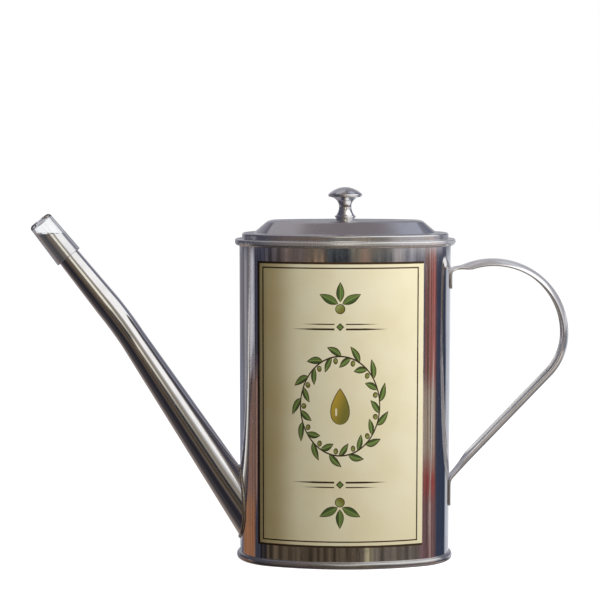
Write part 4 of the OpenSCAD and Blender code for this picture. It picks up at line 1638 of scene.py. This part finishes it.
@dataclass
class Studio:
    """Camera, floor, lamps and the room that the steel reflects. Lengths are in metres."""

    camera_at: tuple[float, float, float] = (-0.0203, -0.8, 0.196)
    pitch: float = 5.6
    lens: float = 107.02
    floor_half: float = 6.0
    room_r: float = 2.2
    ambient: float = 0.06
    ambient_tint: Colour = (1.0, 0.82, 0.5)

    def camera(self) -> None:
        """Places the camera where the photograph was taken from."""
        data = bpy.data.cameras.new("camera")
        data.sensor_width = 36.0
        data.lens = self.lens
        data.clip_start, data.clip_end = 0.01, 50.0
        made = bpy.data.objects.new("camera", data)
        made.location = self.camera_at
        made.rotation_euler = (math.radians(90 - self.pitch), 0, 0)
        bpy.context.scene.collection.objects.link(made)
        bpy.context.scene.camera = made

    def world(self) -> None:
        """White to the camera and in glass, and an even soft light on the object."""
        world = bpy.data.worlds.new("studio")
        bpy.context.scene.world = world
        world.use_nodes = True
        g = Graph(world.node_tree)
        path = g.add("LightPath").outputs
        seen = g.calc("MAXIMUM", path["Is Camera Ray"], path["Is Transmission Ray"])
        seen = g.calc("MAXIMUM", seen, path["Is Glossy Ray"])
        light = g.mix(seen, tuple(self.ambient * part for part in self.ambient_tint), (1.0, 1.0, 1.0))
        back = g.add("Background", {"Color": light, "Strength": 1.0})
        g.add("OutputWorld", {"Surface": back.outputs[0]})

    def floor(self) -> None:
        """A pale floor that keeps the object's soft shadow."""
        material, g = new_material("studio_floor")
        path = g.add("LightPath").outputs
        seen = g.calc("MAXIMUM", path["Is Camera Ray"], path["Is Transmission Ray"])
        seen = g.calc("MAXIMUM", seen, path["Is Glossy Ray"])
        plain = g.add("BsdfDiffuse", {"Color": (0.17, 0.145, 0.1)})
        faint = g.add("BsdfDiffuse", {"Color": (0.28, 0.28, 0.28)})
        away = g.vector("LENGTH", g.add("TexCoord").outputs["Object"], (0.0, 0.0, 0.0))
        glow = g.add("Emission", {"Color": (1.0, 1.0, 1.0), "Strength": g.between(g.step(away, 0.2, 0.9), 0.95, 1.0)})
        shown = g.add("AddShader", {0: faint.outputs[0], 1: glow.outputs[0]})
        both = g.add("MixShader", {0: seen, 1: plain.outputs[0], 2: shown.outputs[0]})
        g.add("OutputMaterial", {"Surface": both.outputs[0]})
        bm = bmesh.new()
        bmesh.ops.create_grid(bm, x_segments=1, y_segments=1, size=self.floor_half)
        floor = self._stage("studio_floor", bm, material)
        floor.visible_glossy = False
        floor.visible_transmission = False

    def room(self) -> None:
        """The surroundings that only the polished steel sees, painted on a large ball round the object."""
        material, g = new_material("studio_room")
        place = g.add("TexCoord").outputs["Object"]
        x, y, z = g.split(place)
        away = g.calc("SQRT", g.calc("ADD", g.calc("MULTIPLY", x, x), g.calc("MULTIPLY", y, y)))
        height = g.calc("MULTIPLY", g.calc("ARCTAN2", z, away), 180 / math.pi)
        bearing = g.calc("MULTIPLY", g.calc("ARCTAN2", x, g.calc("MULTIPLY", y, -1.0)), 180 / math.pi)
        wobble = g.calc("MULTIPLY", g.calc("SUBTRACT", g.noise(place, 0.9, 3.0), 0.5), 5.0)
        bearing = g.calc("ADD", bearing, wobble)
        colour = self._horizon(g, bearing, height)
        for patch in ROOM_PATCHES:
            colour = patch.paint(g, bearing, height, colour)
        colour = self._streaks(g, bearing, height, colour)
        colour = self._window(g, bearing, height, colour)
        path = g.add("LightPath").outputs
        mirrored = g.calc("GREATER_THAN", path["Glossy Depth"], 0.5)
        veil = g.calc("MULTIPLY", g.calc("GREATER_THAN", path["Transmission Depth"], 0.5), 0.06)
        colour = g.mix(veil, colour, (1.0, 1.0, 1.0))
        glow = g.add("Emission", {"Color": g.mix(mirrored, (1.0, 1.0, 1.0), colour), "Strength": 1.0})
        g.add("OutputMaterial", {"Surface": glow.outputs[0]})
        bm = bmesh.new()
        bmesh.ops.create_uvsphere(bm, u_segments=64, v_segments=32, radius=self.room_r)
        room = self._stage("studio_room", bm, material)
        room.visible_camera = False
        room.visible_diffuse = False
        room.visible_shadow = False

    def _horizon(self, g: Graph, bearing: Socket, height: Socket) -> Socket:
        """Streaked colours of the room at eye level, by their bearing."""
        share = g.calc("DIVIDE", g.calc("ADD", bearing, 180.0), 360.0)
        level = g.ramp(share, [((angle + 180) / 360, srgb(*colour)) for angle, colour in HORIZON])
        line = g.add("CombineXYZ", {0: bearing, 1: 0.0, 2: g.calc("MULTIPLY", height, 0.02)}).outputs[0]
        warm = g.step(g.noise(line, 0.23, 2.0), 0.35, 0.65)
        return g.mix(0.22, level, g.mix(warm, (0.36, 0.44, 0.62), (0.62, 0.46, 0.36)), "OVERLAY")

    def _streaks(self, g: Graph, bearing: Socket, height: Socket, under: Socket) -> Socket:
        """Upright light and dark streaks over what the wall mirrors, which is all below eye level."""
        line = g.add("CombineXYZ", {0: bearing, 1: 0.0, 2: g.calc("MULTIPLY", height, 0.02)}).outputs[0]
        streak = g.step(g.noise(line, 0.3, 3.0, 0.65), 0.4, 0.6)
        wall = g.calc("MULTIPLY", g.step(height, 0.4, -0.2), g.step(height, -21, -16))
        front = g.step(g.calc("ABSOLUTE", g.calc("ADD", bearing, 10.0)), 112.0, 64.0)
        wall = g.calc("MULTIPLY", wall, g.between(front, 0.2, 0.68))
        return g.mix(wall, under, g.mix(streak, (0.0, 0.0, 0.0), (1.0, 1.0, 1.0)), "OVERLAY")

    def _window(self, g: Graph, bearing: Socket, height: Socket, under: Socket) -> Socket:
        """The large white soft window on the right, whose lower corners are cut off."""
        left_corner = g.calc("MULTIPLY", g.calc("SUBTRACT", 40.0, bearing), 0.8)
        right_corner = g.calc("MULTIPLY", g.calc("SUBTRACT", bearing, 72.0), 0.34)
        corner = g.calc("MAXIMUM", g.calc("MAXIMUM", left_corner, right_corner), 0.0)
        sill = g.calc("SUBTRACT", height, g.calc("ADD", corner, 18.0))
        lintel = g.calc("ADD", height, g.calc("MULTIPLY", g.calc("MAXIMUM", g.calc("SUBTRACT", bearing, 80.0), 0.0), 0.5))
        lit = g.calc("MULTIPLY", g.step(sill, 0.0, 3.5), g.step(lintel, 78, 68))
        lit = g.calc("MULTIPLY", lit, g.calc("MULTIPLY", g.step(bearing, 8, 16), g.step(bearing, 121, 111)))
        return g.mix(lit, under, (1.12, 1.12, 1.12))

    def lamps(self) -> None:
        """A large soft lamp at the right, which leaves the label's left side darker; painted shade in the label's
        colour darkens its left edge further.
        """
        self._lamp("key_lamp", (0.39, -0.31, 0.62), 0.3, 8.6)

    def _lamp(self, name: str, place: tuple[float, float, float], size: float, power: float) -> None:
        """Adds a square lamp that faces the object and isn't mirrored in the steel."""
        data = bpy.data.lights.new(name, "AREA")
        data.shape = "SQUARE"
        data.size = size
        data.energy = power
        lamp = bpy.data.objects.new(name, data)
        lamp.location = place
        lamp.rotation_euler = (Vector((0, 0, 0.08)) - Vector(place)).to_track_quat("-Z", "Y").to_euler()
        bpy.context.scene.collection.objects.link(lamp)
        lamp.visible_glossy = False
        lamp.visible_transmission = False

    def _stage(self, name: str, bm: bmesh.types.BMesh, material: bpy.types.Material) -> bpy.types.Object:
        """Makes an object of the studio that isn't part of the can."""
        mesh = bpy.data.meshes.new(name)
        bm.to_mesh(mesh)
        bm.free()
        mesh.materials.append(material)
        made = bpy.data.objects.new(name, mesh)
        bpy.context.scene.collection.objects.link(made)
        return made

    def build(self) -> None:
        """Sets up the whole studio."""
        bpy.context.scene.view_settings.view_transform = "Standard"
        self.camera()
        self.world()
        self.floor()
        self.room()
        self.lamps()


def main() -> None:
    """Builds the studio and every piece."""
    logging.basicConfig(level=logging.INFO, format="%(message)s")
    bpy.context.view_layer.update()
    Studio().build()
    finishes = Finishes()
    bench = Bench()
    oval = Oval()
    spout = Spout(oval)
    CanBody(oval).build(bench, finishes, spout)
    Label(oval).build(bench, finishes)
    spout.build(bench, finishes)
    Handle(oval).build(bench, finishes)
    Lid(oval).build(bench, finishes)
    LOG.info("%d pieces", bench.made)


if __name__ == "__main__":
    main()
